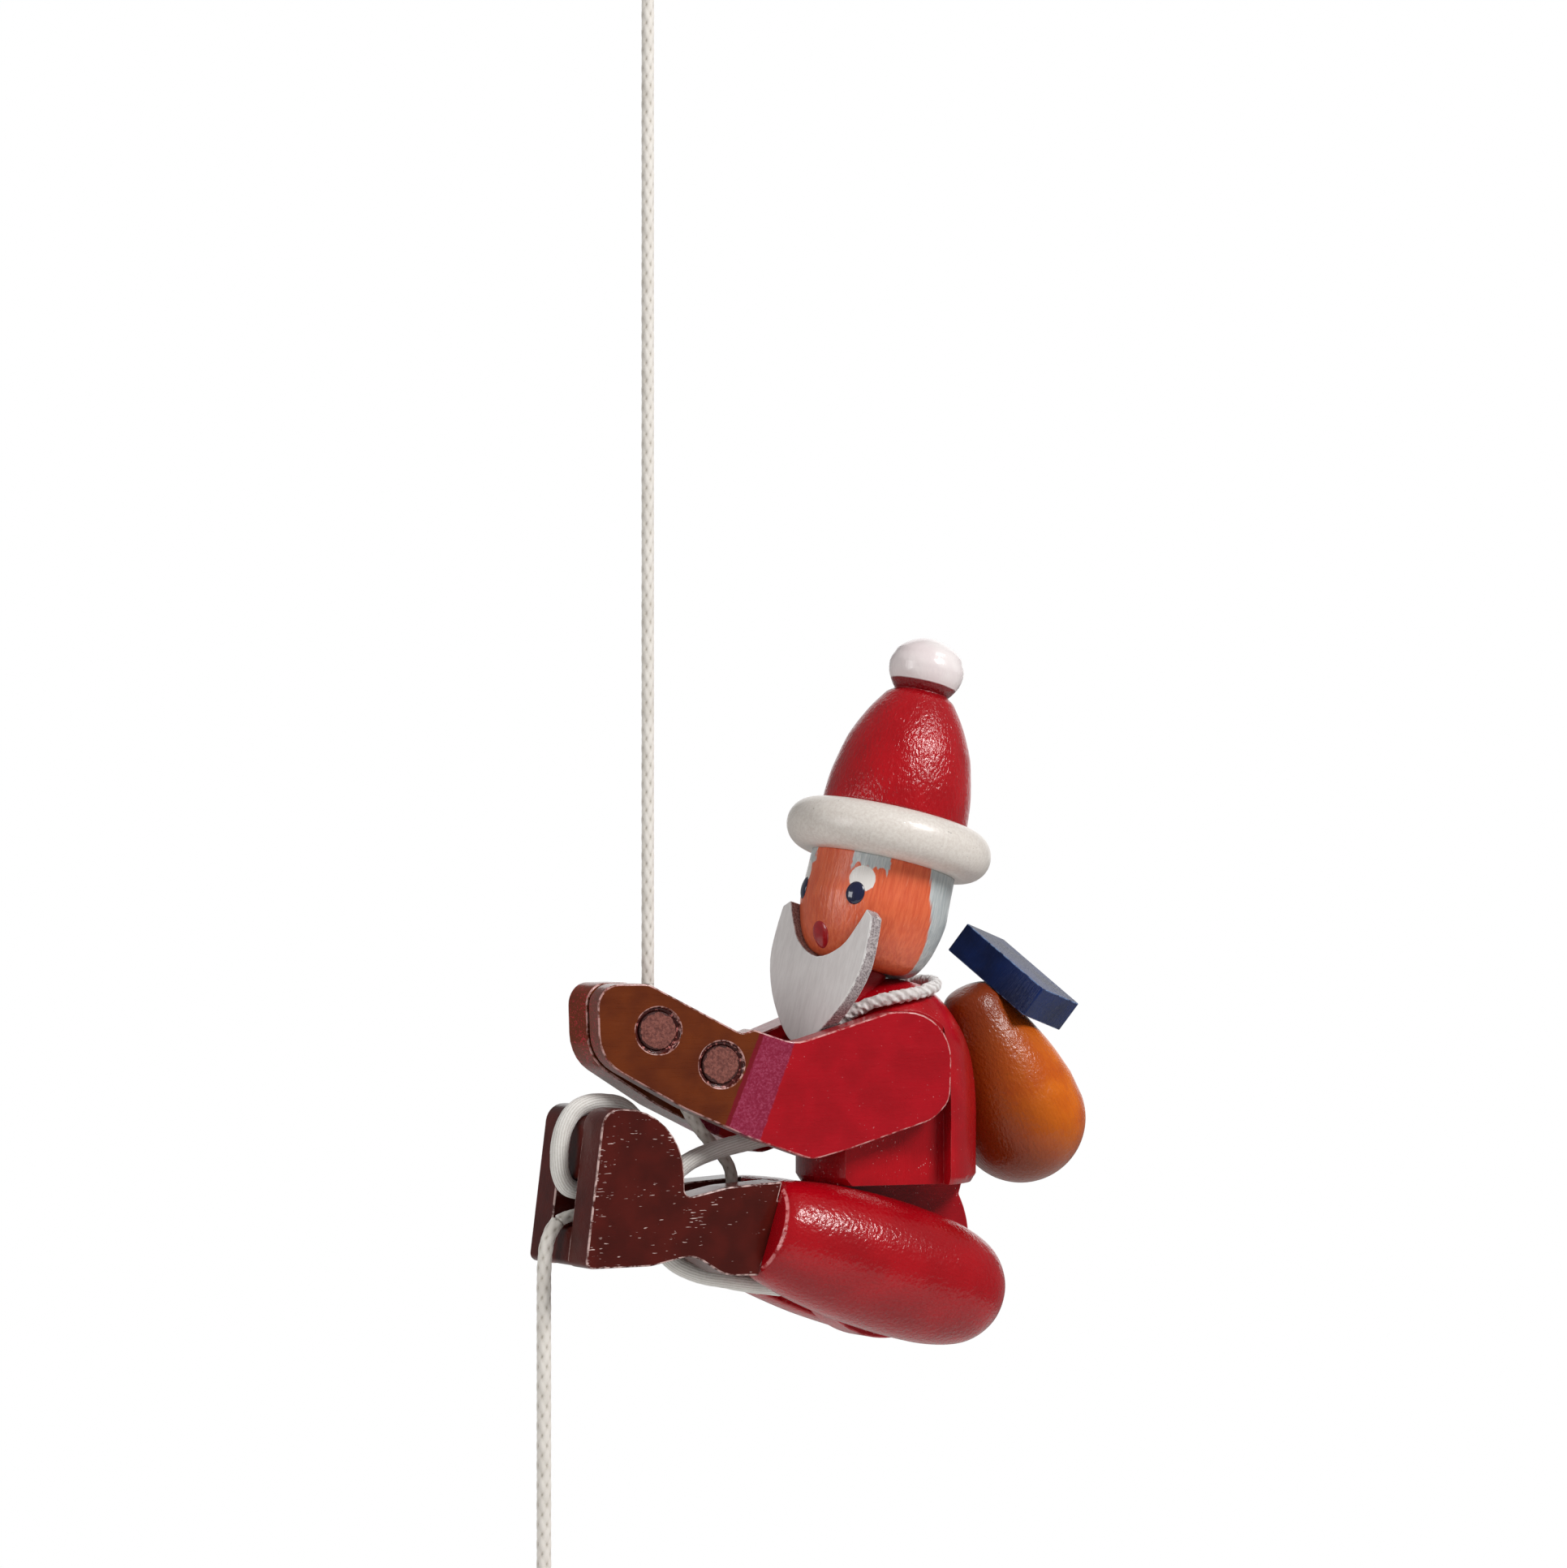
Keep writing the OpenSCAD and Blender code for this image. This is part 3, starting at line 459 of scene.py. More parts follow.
TORSO_Y, TORSO_Z, TORSO_R, TORSO_H = 42.7, -31.7, 14.2, 32.2
HEAD = Place([0, 38, 1.6], turn("X", -14.5) @ turn("Z", 13))
HEAD_R, HEAD_H, BRIM_R, BRIM_H = 11.7, 17.0, 16.4, 8.0
HAT_R, HAT_H, BOBBLE_R, BOBBLE_H = 11.65, 20.0, 6.0, 8.8
SACK = Place([0, 67.85, -22.5], turn("X", 26.5))
SACK_R, SACK_H = 10.4, 23.4
THIGH = Place(ANKLE, turn("X", -107.3))
THIGH_X, THIGH_R, THIGH_OUT, THIGH_L, THIGH_FLAT = 6.5, 10.4, 10.02, 43.9, 3.35
THIGH_SHAPE = [[0.655, 0], [0.73, 0.018], [0.795, 0.057], [0.905, 0.19], [0.975, 0.34], [1, 0.46],
               [1, 0.6], [0.95, 0.76], [0.8, 0.89], [0.55, 0.965], [0.3, 0.992], [0, 1]]
PARCEL = Place([0, 66.5, 0], np.array(Euler(np.radians([-16, 33.5, 20]), "XYZ").to_matrix()))
PARCEL_H = 5.3
HEAD_SHAPE = [[0.5, 0], [0.65, 0.02], [0.75, 0.07], [0.81, 0.13], [0.858, 0.19], [0.91, 0.28],
              [0.957, 0.4], [0.986, 0.5], [1, 0.6], [0.99, 0.75], [0.983, 1]]
HAT_SHAPE = [[1, 0], [0.99, 0.12], [0.97, 0.24], [0.925, 0.375], [0.86, 0.53], [0.81, 0.608],
             [0.752, 0.683], [0.683, 0.763], [0.606, 0.84], [0.515, 0.917], [0.464, 0.957],
             [0.375, 0.995], [0.365, 1]]
BOBBLE_SHAPE = [[0.72, 0], [0.78, 0.05], [0.84, 0.11], [0.91, 0.19], [0.965, 0.28], [0.99, 0.37],
                [1, 0.46], [0.97, 0.55], [0.915, 0.635], [0.86, 0.72], [0.73, 0.81], [0.53, 0.9],
                [0.3, 0.965], [0, 1]]
SACK_SHAPE = [[0.985, 0.16], [0.885, 0.38], [0.73, 0.6], [0.57, 0.78], [0.47, 0.9], [0.32, 0.975],
              [0, 1]]
TORSO_SHAPE = [[1, 0.04], [1, 0.2], [1, 0.38], [0.97, 0.54], [0.895, 0.68], [0.77, 0.79],
               [0.6, 0.89], [0.4, 0.96], [0.2, 0.99]]


def turned(shape, r, h, count):
    """A turned outline in millimetres: a smooth line through a shape's shares of radius and height,
    kept off the far side of the axis."""
    p = smooth_line([[a * r, b * h, 0] for a, b in shape], count)[:, :2]
    return np.maximum(p, [0, -1])


def hat_with_bobble():
    """The hat: a turned cone, a drawn-in waist and a bobble, as one outline about one axis."""
    cone = turned(HAT_SHAPE, HAT_R, HAT_H, 60)
    ball = turned(BOBBLE_SHAPE, BOBBLE_R, BOBBLE_H, 60) + [0, HAT_H + 0.05]
    base = [[0, 0], [6, 0], [HAT_R - 0.6, 0], [HAT_R - 0.15, 0.08]]
    outline = np.vstack([base, cone[1:], ball])
    return revolved("hat_and_bobble", outline + [0, HEAD_H + BRIM_H], HEAD)


def rounded_brim():
    """The brim: a flat ring whose rim is a half circle, turned about the head's axis."""
    a = np.radians(np.linspace(-90, 90, 41))
    half = BRIM_H / 2
    rim = np.stack([BRIM_R - half + half * np.cos(a), half + half * np.sin(a)], 1)
    flat = np.array([[0, 0], [4, 0], [8, 0], [11, 0]])
    outline = np.vstack([flat, rim, (flat * [1, 0] + [0, BRIM_H])[::-1]])
    return revolved("brim_ring", outline + [0, HEAD_H], HEAD, 160)


def turned_sack():
    """The sack: a round belly that runs up into a neck, turned about its leaning axis, and planed
    flat where the parcel lies on it."""
    a = np.radians(np.linspace(-90, -2, 30))
    belly = SACK_R * np.stack([np.cos(a), np.sin(a)], 1)
    belly[0, 0] = 0
    piece = revolved("turned_sack", np.vstack([belly, turned(SACK_SHAPE, SACK_R, SACK_H, 50)]), SACK)
    places = np.zeros(len(piece.data.vertices) * 3)
    piece.data.vertices.foreach_get("co", places)
    places = places.reshape(-1, 3)
    up = PARCEL.rotation[:, 2]
    above = np.maximum((places - PARCEL.origin) @ up / MM + PARCEL_H / 2 + 0.1, 0)
    piece.data.vertices.foreach_set("co", (places - above[:, None] * up * MM).ravel())
    return piece


def turned_head():
    """The head: a barrel with a rounded lower edge, turned about its leaning axis."""
    side = turned(HEAD_SHAPE, HEAD_R, HEAD_H, 90)
    return revolved("turned_head", np.vstack([[[0, 0]], side, [[4, HEAD_H], [0, HEAD_H]]]), HEAD, 160)


def rounded_thigh(name, side):
    """A thigh: an outline turned about the leg's leaning axis, a little slimmer across than it is
    high, and planed flat beside the hip plate."""
    line = turned(THIGH_SHAPE, THIGH_R, THIGH_L, 100)
    foot = THIGH_R * THIGH_SHAPE[0][0]
    front = [[foot - 4, 0], [foot - 1.2, 0], [foot - 0.4, 0], [foot - 0.12, 0.04], [foot, 0.15]]
    r, h = np.vstack([front, line[line[:, 1] > 0.3]])[:-1].T
    a = side * np.linspace(0, 2 * np.pi, 128, endpoint=False)
    x = THIGH_X + r[:, None] * np.cos(a) * THIGH_OUT / THIGH_R
    grid = np.stack([side * np.maximum(x, THIGH_FLAT), r[:, None] * np.sin(a),
                     np.broadcast_to(h[:, None], x.shape)], -1)
    ends = [THIGH.out([side * THIGH_X, 0, z]) for z in (0, THIGH_L)]
    return skin(name, THIGH.out(grid), ends=ends)


def pull_ball():
    """The pull bead: a ball with flattened ends, turned about the cord. The cord fills its bore, so
    each end is closed, with one ring where the bore opens and one at the ball's lip."""
    half = BEAD_L / 2
    lip = BEAD_BORE + 0.3
    a = np.radians(np.linspace(-64.2, 64.2, 40))
    ball = BEAD_R * np.stack([np.cos(a), np.sin(a)], 1)
    foot = [[0, -half], [BEAD_BORE, -half], [lip, -half]]
    top = [[lip, half], [BEAD_BORE, half], [0, half]]
    return revolved("pull_ball", np.vstack([foot, ball, top]), Place([0, PULL_Y, bead_top - half]), 96)


hat = hat_with_bobble()
brim = rounded_brim()
head = turned_head()
thighs = [rounded_thigh("thigh_left_turned", 1), rounded_thigh("thigh_right_turned", -1)]
sack = turned_sack()
bead = pull_ball()


def collar_route():
    """The collar's line: at each angle from the front it lies on the torso's dome, at a share of the
    torso's height read from a table, and a little over half a thickness out, square to the dome."""
    drape = np.array([[0, 0.715], [12, 0.73], [24, 0.78], [36, 0.83], [47, 0.86], [70, 0.885],
                      [100, 0.905], [140, 0.933], [180, 0.942]])
    count, softened, near, lift = 400, 15, 0.3, 1.3
    dome = turned(TORSO_SHAPE, TORSO_R, TORSO_H, 200)
    a = np.radians(np.linspace(0, 360, count, endpoint=False))
    share = np.interp(180 - abs(180 - np.degrees(a)), *drape.T)
    share = np.convolve(np.tile(share, 3), np.ones(softened) / softened, "same")[count:2 * count]
    z = TORSO_H * share
    r, below, above = (np.interp(z + k, dome[:, 1], dome[:, 0]) for k in (0, -near, near))
    out = np.stack([2 * near + 0 * z, below - above], 1)
    out = lift * out / np.linalg.norm(out, axis=1, keepdims=True)
    reach = r + out[:, 0]
    return figure_point(np.stack([reach * np.sin(a), TORSO_Y - reach * np.cos(a),
                                  TORSO_Z + z + out[:, 1]], 1))


def collar_cord():
    """The cord round the collar: three soft plies twisted together, a cosine round the cord that
    turns along it, with uneven fluff."""
    plies, lay, around = 3, 4.5, 40
    half, core, rise, uneven, tuft = 1.1, 0.87, 0.05, 0.16, 0.45
    line = collar_route()
    route = even(np.vstack([line, line[:1]]), 700)[:-1]
    run = np.linspace(0, length_of(route), len(route))[:, None]
    angle = np.linspace(0, 2 * np.pi, around, endpoint=False)[None]
    turns = np.round(length_of(route) / (lay * MM))
    ply = 0.5 + 0.5 * np.cos(plies * (angle - 2 * np.pi * turns * run / run[-1]))
    fluff = wobble(np.stack(np.broadcast_arrays(run / MM, np.cos(angle), np.sin(angle)), -1), tuft, 9)
    radius = half * MM * (core + rise * ply ** 0.7 + uneven * fluff)
    return carried("collar_twist", route, radius, (0, 0, 1), around, True, {"strand": ply})


collar = collar_cord()


# Painted details of the head

def head_radius(height):
    """The turned head's radius at a height above its foot."""
    outline = turned(HEAD_SHAPE, HEAD_R, HEAD_H, 200)
    return np.interp(height, outline[:, 1], outline[:, 0])


def painted_spot(name, angle, height, across, up, rise):
    """A spot of thick paint on the head: a disc wrapped round the head at that angle and height,
    whose middle rises like the cap of a ball, with its rim just under the skin."""
    sunk, deep = 0.05, 0.3
    share = np.linspace(0, 1, 18)[1:, None]
    a = np.linspace(0, 2 * np.pi, 64, endpoint=False)[None]
    middle = head_radius(height)
    z = height + share * up * np.sin(a)
    r = head_radius(z) + rise * np.sqrt(np.clip(1 - share ** 2, 0, 1)) - sunk
    round_by = np.radians(angle) + share * across * np.cos(a) / middle
    grid = np.stack([r * np.sin(round_by), -r * np.cos(round_by), z], -1)
    outward = np.array([np.sin(np.radians(angle)), -np.cos(np.radians(angle)), 0])
    back, top = ((middle + k) * outward + [0, 0, height] for k in (-deep, rise - sunk))
    return skin(name, HEAD.out(grid[::-1]), ends=(HEAD.out(back), HEAD.out(top)))


EYE = {"height": 10.5, "across": 1.55, "up": 1.85, "rise": 0.45}
eyes = [painted_spot("eye_left", 30, **EYE), painted_spot("eye_right", -30, **EYE)]
mouth = painted_spot("mouth", 0.5, height=3.4, across=1.8, up=2.05, rise=0.3)


# Finishes

def grained_paint(name, colour, deep, place, roughness=0.3, grain=0.03, waves=0.06,
                  wave_sizes=(1.5, 1.5, 1.1), flecks=0.0, sizes=(0.35, 0.35, 4), coat=0.4,
                  wear_and_highlight=0.0, pale=(240, 150, 150), rim=None):
    """Lacquer over wood: an even colour that deepens slowly, the grain as fine ridges along the
    piece's own upright axis, a brushed ripple, specks chipped to the ground, edges paled by wear and a
    painted highlight, and a painted highlight as a pale rim between two heights. Sizes are in
    millimetres."""
    f = Finish(name)
    at = f.local(place)
    cloud = f.noise(at, 8, 2)
    ridges = f.noise(f.stretched(at, sizes), 1, 3, 0.6)
    tone = f.step(f.sum("MULTIPLY_ADD", ridges, 0.08, cloud), 0.35, 0.75)
    paint = f.mix(tone, srgb(*deep), srgb(*colour))
    if flecks:
        specks = f.noise(f.stretched(at, (0.3, 0.3, 0.4)), 1, 2, 0.6)
        patch = f.noise(at, 5, 1)
        chipped = f.step(f.sum("MULTIPLY_ADD", patch, 0.3, specks), 0.94 - flecks, 0.97 - flecks)
        paint = f.mix(f.sum("MULTIPLY", chipped, 0.75), paint, srgb(240, 205, 205))
    # Edges paled in a broken line: wear and a painted highlight.
    if wear_and_highlight:
        paint = f.pale_broken_line(at, paint, wear_and_highlight, pale)
    # Painted highlight: a pale broken band round a rim between two heights.
    if rim:
        z = f.split(at)[2]
        band = f.sum("MULTIPLY", f.step(z, rim[0], rim[0] + 0.04), f.step(z, rim[1], rim[1] - 0.15))
        paint = f.pale_broken_line(at, paint, f.sum("MULTIPLY", band, 0.8), pale)
    normal = f.bump(ridges, grain * MM)
    normal = f.bump(f.noise(f.stretched(at, wave_sizes), 1, 2), waves * MM, normal)
    rough = f.sum("MULTIPLY_ADD", ridges, 0.25, roughness - 0.12)
    return f.shade(Base_Color=paint, Roughness=rough, Normal=normal, Coat_Weight=coat,
                   Coat_Roughness=0.14, Specular_IOR_Level=0.2)


def cord_yarn(name, high, low, fibre=0.12, depth=0.02):
    """White yarn: greyer between the strands, where painted shade lies, with fine fibres."""
    f = Finish(name)
    at = f.millimetres()
    strand = f.attribute("strand")
    fibres = f.noise(at, fibre, 3, 0.7)
    stain = f.noise(at, 5, 2)
    shade = f.sum("ADD", f.sum("MULTIPLY", strand, 0.75), f.sum("MULTIPLY", fibres, 0.5))
    colour = f.mix(f.step(shade, 0.2, 0.95), srgb(*low), srgb(*high))
    colour = f.mix(f.sum("MULTIPLY", f.step(stain, 0.45, 0.75), 0.25), colour, srgb(*low))
    return f.shade(Base_Color=colour, Roughness=0.85, Normal=f.bump(fibres, depth * MM),
                   Sheen_Weight=0.25, Sheen_Roughness=0.5)


def head_paint():
    """Skin, hair and the whites of the eyes, brushed on the turned head. The angle is measured
    round the head's axis from the face, and each edge is drawn out by upright brush strokes."""
    f = Finish("head_paint")
    at = f.local(HEAD)
    x, y, z = f.split(at)
    angle = f.sum("DEGREES", f.sum("ARCTAN2", x, f.sum("MULTIPLY", y, -1.0)))
    side = f.sum("ABSOLUTE", angle)
    strokes = f.noise(f.stretched(at, (0.5, 0.5, 5)), 1, 3, 0.6)
    fine = f.noise(f.stretched(at, (0.22, 0.22, 2.5)), 1, 2, 0.6)
    bare = f.mix(f.step(strokes, 0.35, 0.65), srgb(216, 90, 52), srgb(230, 108, 66))
    bare = f.mix(f.sum("MULTIPLY", f.step(fine, 0.62, 0.78), 0.35), bare, srgb(250, 170, 135))
    hair = f.mix(f.step(strokes, 0.3, 0.7), srgb(168, 176, 178), srgb(198, 202, 202))
    hair = f.mix(f.sum("MULTIPLY", f.step(fine, 0.58, 0.72), 0.6), hair, srgb(225, 225, 220))
    edge = f.sum("MULTIPLY_ADD", strokes, 8.0, side)
    behind = f.step(f.sum("MULTIPLY_ADD", z, 1.5, edge), 114.0, 117.0)
    ragged = f.noise(f.stretched(at, (1.5, 1.5, 2.4)), 1, 2, 0.5)
    low = f.step(f.sum("MULTIPLY_ADD", ragged, 4.5, z), 16.5, 16.9)
    reach = f.sum("MULTIPLY_ADD", ragged, 22.0, f.sum("ABSOLUTE", f.sum("SUBTRACT", side, 37.0)))
    tuft = f.sum("MULTIPLY", low, f.step(reach, 29.0, 27.5))
    paint = f.mix(f.sum("MAXIMUM", behind, tuft), bare, hair)
    across = f.sum("DIVIDE", f.sum("SUBTRACT", side, 33.0), 10.5)
    upward = f.sum("DIVIDE", f.sum("SUBTRACT", z, 12.9), 2.1)
    round_off = f.sum("ADD", f.sum("MULTIPLY", across, across), f.sum("MULTIPLY", upward, upward))
    white = f.step(f.sum("MULTIPLY_ADD", fine, 0.35, round_off), 1.22, 1.08)
    paint = f.mix(white, paint, srgb(235, 230, 225))
    normal = f.bump(strokes, 0.12 * MM)
    normal = f.bump(fine, 0.05 * MM, normal)
    return f.shade(Base_Color=paint, Roughness=0.36, Normal=normal, Coat_Weight=0.3,
                   Coat_Roughness=0.16)


def hat_paint():
    """Red over the cone and the waist, with painted shade darkening the red at the waist and under the
    bobble, and a pinkish white dip over the bobble.
    """
    f = Finish("hat_paint")
    at = f.local(HEAD)
    z = f.split(at)[2]
    grain = f.noise(f.stretched(at, (0.4, 0.4, 1.0)), 1, 2, 0.55)
    cloud = f.noise(at, 6, 2)
    top = HEAD_H + BRIM_H + HAT_H
    red = f.mix(f.step(f.sum("MULTIPLY_ADD", grain, 0.3, cloud), 0.5, 0.85), srgb(166, 5, 18),
                srgb(180, 7, 21))
    # Painted shade: darker red at the waist and on the bobble's underside.
    red = f.mix(f.step(z, top - 1.2, top + 0.4), red, srgb(128, 4, 14))
    dip = f.step(f.sum("MULTIPLY_ADD", cloud, 0.5, z), top + 1.5, top + 1.75)
    white = f.mix(f.step(cloud, 0.3, 0.7), srgb(236, 222, 222), srgb(248, 240, 238))
    depth = f.sum("MULTIPLY", grain, f.sum("SUBTRACT", 1.0, f.sum("MULTIPLY", dip, 0.8)))
    normal = f.bump(depth, 0.19 * MM)
    normal = f.bump(f.noise(at, 2.6, 2), 0.08 * MM, normal)
    rough = f.sum("MULTIPLY_ADD", grain, 0.2, 0.14)
    return f.shade(Base_Color=f.mix(dip, red, white), Roughness=rough, Normal=normal,
                   Coat_Weight=0.45, Coat_Roughness=0.12, Specular_IOR_Level=0.25)


def brim_paint():
    """Matt white over open-pored wood: fine grain and a few small dark pits."""
    f = Finish("brim_paint")
    at = f.local(HEAD)
    grain = f.noise(f.stretched(at, (0.5, 0.5, 0.5)), 1, 4, 0.7)
    pits = f.noise(f.stretched(at, (0.45, 0.8, 0.3)), 1, 1, 0.5)
    where = f.noise(at, 6, 1)
    pit = f.step(f.sum("MULTIPLY_ADD", where, 0.25, pits), 0.9, 0.95)
    colour = f.mix(f.step(grain, 0.3, 0.7), srgb(220, 210, 201), srgb(236, 229, 221))
    colour = f.mix(f.sum("MULTIPLY", pit, 0.7), colour, srgb(140, 130, 120))
    normal = f.bump(grain, 0.035 * MM)
    normal = f.bump(f.sum("MULTIPLY", pit, -1.0), 0.1 * MM, normal)
    return f.shade(Base_Color=colour, Roughness=0.38, Normal=normal, Coat_Weight=0.2)


def plain_paint(name, colour, roughness, coat):
    """A drop of thick glossy paint, a little uneven."""
    f = Finish(name)
    at = f.millimetres()
    cloud = f.noise(at, 0.8, 2)
    paint = f.mix(cloud, srgb(*[c * 0.8 for c in colour]), srgb(*colour))
    return f.shade(Base_Color=paint, Roughness=roughness, Normal=f.bump(cloud, 0.02 * MM),
                   Coat_Weight=coat, Coat_Roughness=0.05)


def beard_paint(name, wear_and_highlight=0.0):
    """Light grey on the sawn board's face, and a darker sawn edge: open grain and painted shade."""
    f = Finish(name)
    at = f.local(HEAD)
    face = f.step(f.turned_to(HEAD.rotation @ [0, -1, 0]), 0.6, 0.8)
    grain = f.noise(f.stretched(at, (0.5, 0.5, 3)), 1, 3, 0.6)
    pores = f.noise(f.stretched(at, (0.25, 0.35, 0.25)), 1, 2, 0.6)
    front = f.mix(f.step(grain, 0.3, 0.7), srgb(228, 223, 221), srgb(238, 234, 232))
    # The sawn edge is greyer and darker: its open grain, and painted shade.
    edge = f.mix(f.step(pores, 0.35, 0.65), srgb(128, 116, 118), srgb(190, 180, 180))
    normal = f.bump(f.sum("MULTIPLY", pores, f.sum("SUBTRACT", 1.0, face)), 0.12 * MM)
    normal = f.bump(grain, 0.02 * MM, normal)
    paint = f.mix(face, edge, front)
    # Edges paled in a broken line: wear and a painted highlight.
    if wear_and_highlight:
        paint = f.pale_broken_line(at, paint, wear_and_highlight, (244, 240, 238))
    return f.shade(Base_Color=paint, Roughness=0.5, Normal=normal)


ARM = Place([0.3, -10.5, 0], turn("Z", 90 - 10.2) @ turn("X", 90))
PEG_PLACES = ((-1.75, -6.85), (8.3, -12.2))


def peg_distance(f):
    """How far a place is from the nearer hand peg's axis, seen along the axis, in millimetres."""
    y, z = f.split(f.millimetres())[1:]
    across = f.node("ShaderNodeCombineXYZ", {1: y, 2: z}).outputs[0]
    away = [f.node("ShaderNodeVectorMath", {0: across, 1: (0, back, up - HANG_DROP)},
                   operation="DISTANCE").outputs["Value"] for back, up in PEG_PLACES]
    return f.sum("MINIMUM", *away)


def arm_paint(name, side, wear_and_highlight=0.0):
    """Sleeve, cuff and mitten on one arm board, parted by straight lines drawn across it, with a
    narrow strip of painted shade between mitten and cuff, and round each hand peg a mouth of painted
    shade with pale chips. Along and up are measured from the fingertips, and the right arm's places
    are mirrored to the left."""
    f = Finish(name)
    mirrored = f.node("ShaderNodeVectorMath", {0: f.own, 1: (side, 1, 1)}, operation="MULTIPLY")
    at = f.local(ARM, mirrored.outputs[0])
    along, up = f.split(at)[:2]
    ragged = f.noise(at, 0.8, 3, 0.6)
    jag = f.sum("MULTIPLY_ADD", ragged, 0.5, -0.25)

    def beyond(x0, z0, x1, z1, blur):
        """1 behind the line through the two points, 0 in front of it."""
        slope = (x1 - x0) / (z1 - z0)
        away = f.sum("SUBTRACT", f.sum("SUBTRACT", along, x0),
                     f.sum("MULTIPLY", f.sum("SUBTRACT", up, z0), slope))
        return f.step(f.sum("ADD", away, jag), -blur, blur)

    grain = f.noise(f.stretched(at, (4, 0.35, 0.35)), 1, 3, 0.6)
    cloud = f.noise(at, 5, 2)
    specks = f.noise(f.stretched(at, (0.55, 0.3, 0.3)), 1, 2, 0.6)
    chips = f.step(f.sum("MULTIPLY_ADD", cloud, 0.2, specks), 0.84, 0.87)
    red = f.mix(f.step(f.sum("MULTIPLY_ADD", grain, 0.08, cloud), 0.35, 0.75), srgb(162, 5, 22),
                srgb(176, 7, 26))
    red = f.mix(f.sum("MULTIPLY", chips, 0.6), red, srgb(240, 190, 195))
    frost = f.noise(at, 0.35, 3, 0.7)
    cuff = f.mix(f.step(frost, 0.4, 0.7), srgb(136, 26, 56), srgb(166, 66, 94))
    brown = f.mix(f.step(f.sum("MULTIPLY_ADD", grain, 0.12, cloud), 0.35, 0.75), srgb(92, 34, 6),
                  srgb(110, 46, 9))
    sheet = f.sum("ABSOLUTE", f.turned_to(ARM.rotation @ [0, 0, 1] * [side, 1, 1]))
    edge = f.step(sheet, 0.8, 0.5)
    worn = f.step(f.sum("MULTIPLY_ADD", cloud, 0.4, specks), 0.78, 0.84)
    brown = f.mix(f.sum("MULTIPLY", edge, 0.6), brown, srgb(112, 40, 14))
    brown = f.mix(f.sum("MULTIPLY", edge, worn), brown, srgb(170, 40, 50))
    # Painted shade: a narrow dark red strip between the mitten and the cuff.
    paint = f.mix(beyond(26.5, -6.6, 20.5, -21.4, 0.12), brown, srgb(120, 14, 30))
    paint = f.mix(beyond(27.2, -6.9, 21.2, -21.7, 0.12), paint, cuff)
    paint = f.mix(beyond(31.8, -9.2, 26.7, -22.6, 0.15), paint, red)
    # Edges paled in a broken line: wear and a painted highlight.
    if wear_and_highlight:
        paint = f.pale_broken_line(at, paint, wear_and_highlight, (240, 190, 185))
    # Round each peg, painted shade in the mouth of its hole, broken by pale chips.
    splinters = f.noise(at, 0.7, 3, 0.6)
    mouth = f.mix(f.step(splinters, 0.56, 0.62), srgb(70, 18, 14), srgb(206, 122, 116))
    near = f.sum("MULTIPLY_ADD", splinters, 1.6, peg_distance(f))
    paint = f.mix(f.step(near, 4.5, 4.3), paint, mouth)
    normal = f.bump(grain, 0.02 * MM)
    normal = f.bump(f.noise(at, 1.5, 2), 0.05 * MM, normal)
    rough = f.sum("MULTIPLY_ADD", grain, 0.2, 0.2)
    return f.shade(Base_Color=paint, Roughness=rough, Normal=normal, Coat_Weight=0.3,
                   Coat_Roughness=0.1, Specular_IOR_Level=0.25)


def boot_paint(name, wear_and_highlight=0.0):
    """Dark brown gloss over open-pored wood, whose pores show as short pale dashes along the board."""
    f = Finish(name)
    at = f.millimetres()
    cloud = f.noise(at, 5, 2)
    pores = f.noise(f.stretched(at, (0.6, 1.5, 0.17)), 1, 1, 0.5)
    field = f.noise(at, 6, 2)
    dash = f.step(f.sum("MULTIPLY_ADD", field, 0.45, pores), 0.94, 0.97)
    sheet = f.sum("ABSOLUTE", f.split(f.facing)[0])
    side = f.step(sheet, 0.7, 0.95)
    brown = f.mix(f.step(cloud, 0.3, 0.7), srgb(68, 17, 11), srgb(84, 22, 15))
    paint = f.mix(f.sum("MULTIPLY", side, f.sum("MULTIPLY", dash, 0.85)), brown, srgb(226, 200, 194))
    # Edges paled in a broken line: wear and a painted highlight.
    if wear_and_highlight:
        paint = f.pale_broken_line(at, paint, wear_and_highlight, (238, 205, 198))
    normal = f.bump(f.noise(f.stretched(at, (0.4, 4, 0.4)), 1, 3, 0.6), 0.03 * MM)
    normal = f.bump(f.noise(at, 1.8, 2), 0.05 * MM, normal)
    return f.shade(Base_Color=paint, Roughness=0.3, Normal=normal, Coat_Weight=0.2,
                   Coat_Roughness=0.12, Specular_IOR_Level=0.2)


def dowel_end_paint():
    """Stained end grain: reddish brown and coarse, with painted shade in a ragged gap round the rim.
    """
    f = Finish("dowel_ends")
    at = f.millimetres()
    grain = f.noise(at, 0.45, 4, 0.7)
    ragged = f.noise(at, 1.1, 3, 0.65)
    colour = f.mix(f.step(grain, 0.35, 0.65), srgb(94, 38, 30), srgb(142, 80, 68))
    # Painted shade in the gap between the peg and its hole.
    rim = f.step(f.sum("MULTIPLY_ADD", ragged, 1.5, peg_distance(f)), 3.45, 3.6)
    colour = f.mix(rim, colour, srgb(60, 16, 12))
    depth = f.sum("SUBTRACT", grain, f.sum("MULTIPLY", rim, 1.5))
    return f.shade(Base_Color=colour, Roughness=0.6, Normal=f.bump(depth, 0.16 * MM))


def bare_wood():
    """Unpainted beech with fine grain along its length."""
    f = Finish("bare_wood")
    at = f.millimetres()
    grain = f.noise(f.stretched(at, (3, 0.4, 0.4)), 1, 3, 0.6)
    colour = f.mix(f.step(grain, 0.3, 0.7), srgb(176, 132, 88), srgb(206, 168, 124))
    return f.shade(Base_Color=colour, Roughness=0.6, Normal=f.bump(grain, 0.03 * MM))


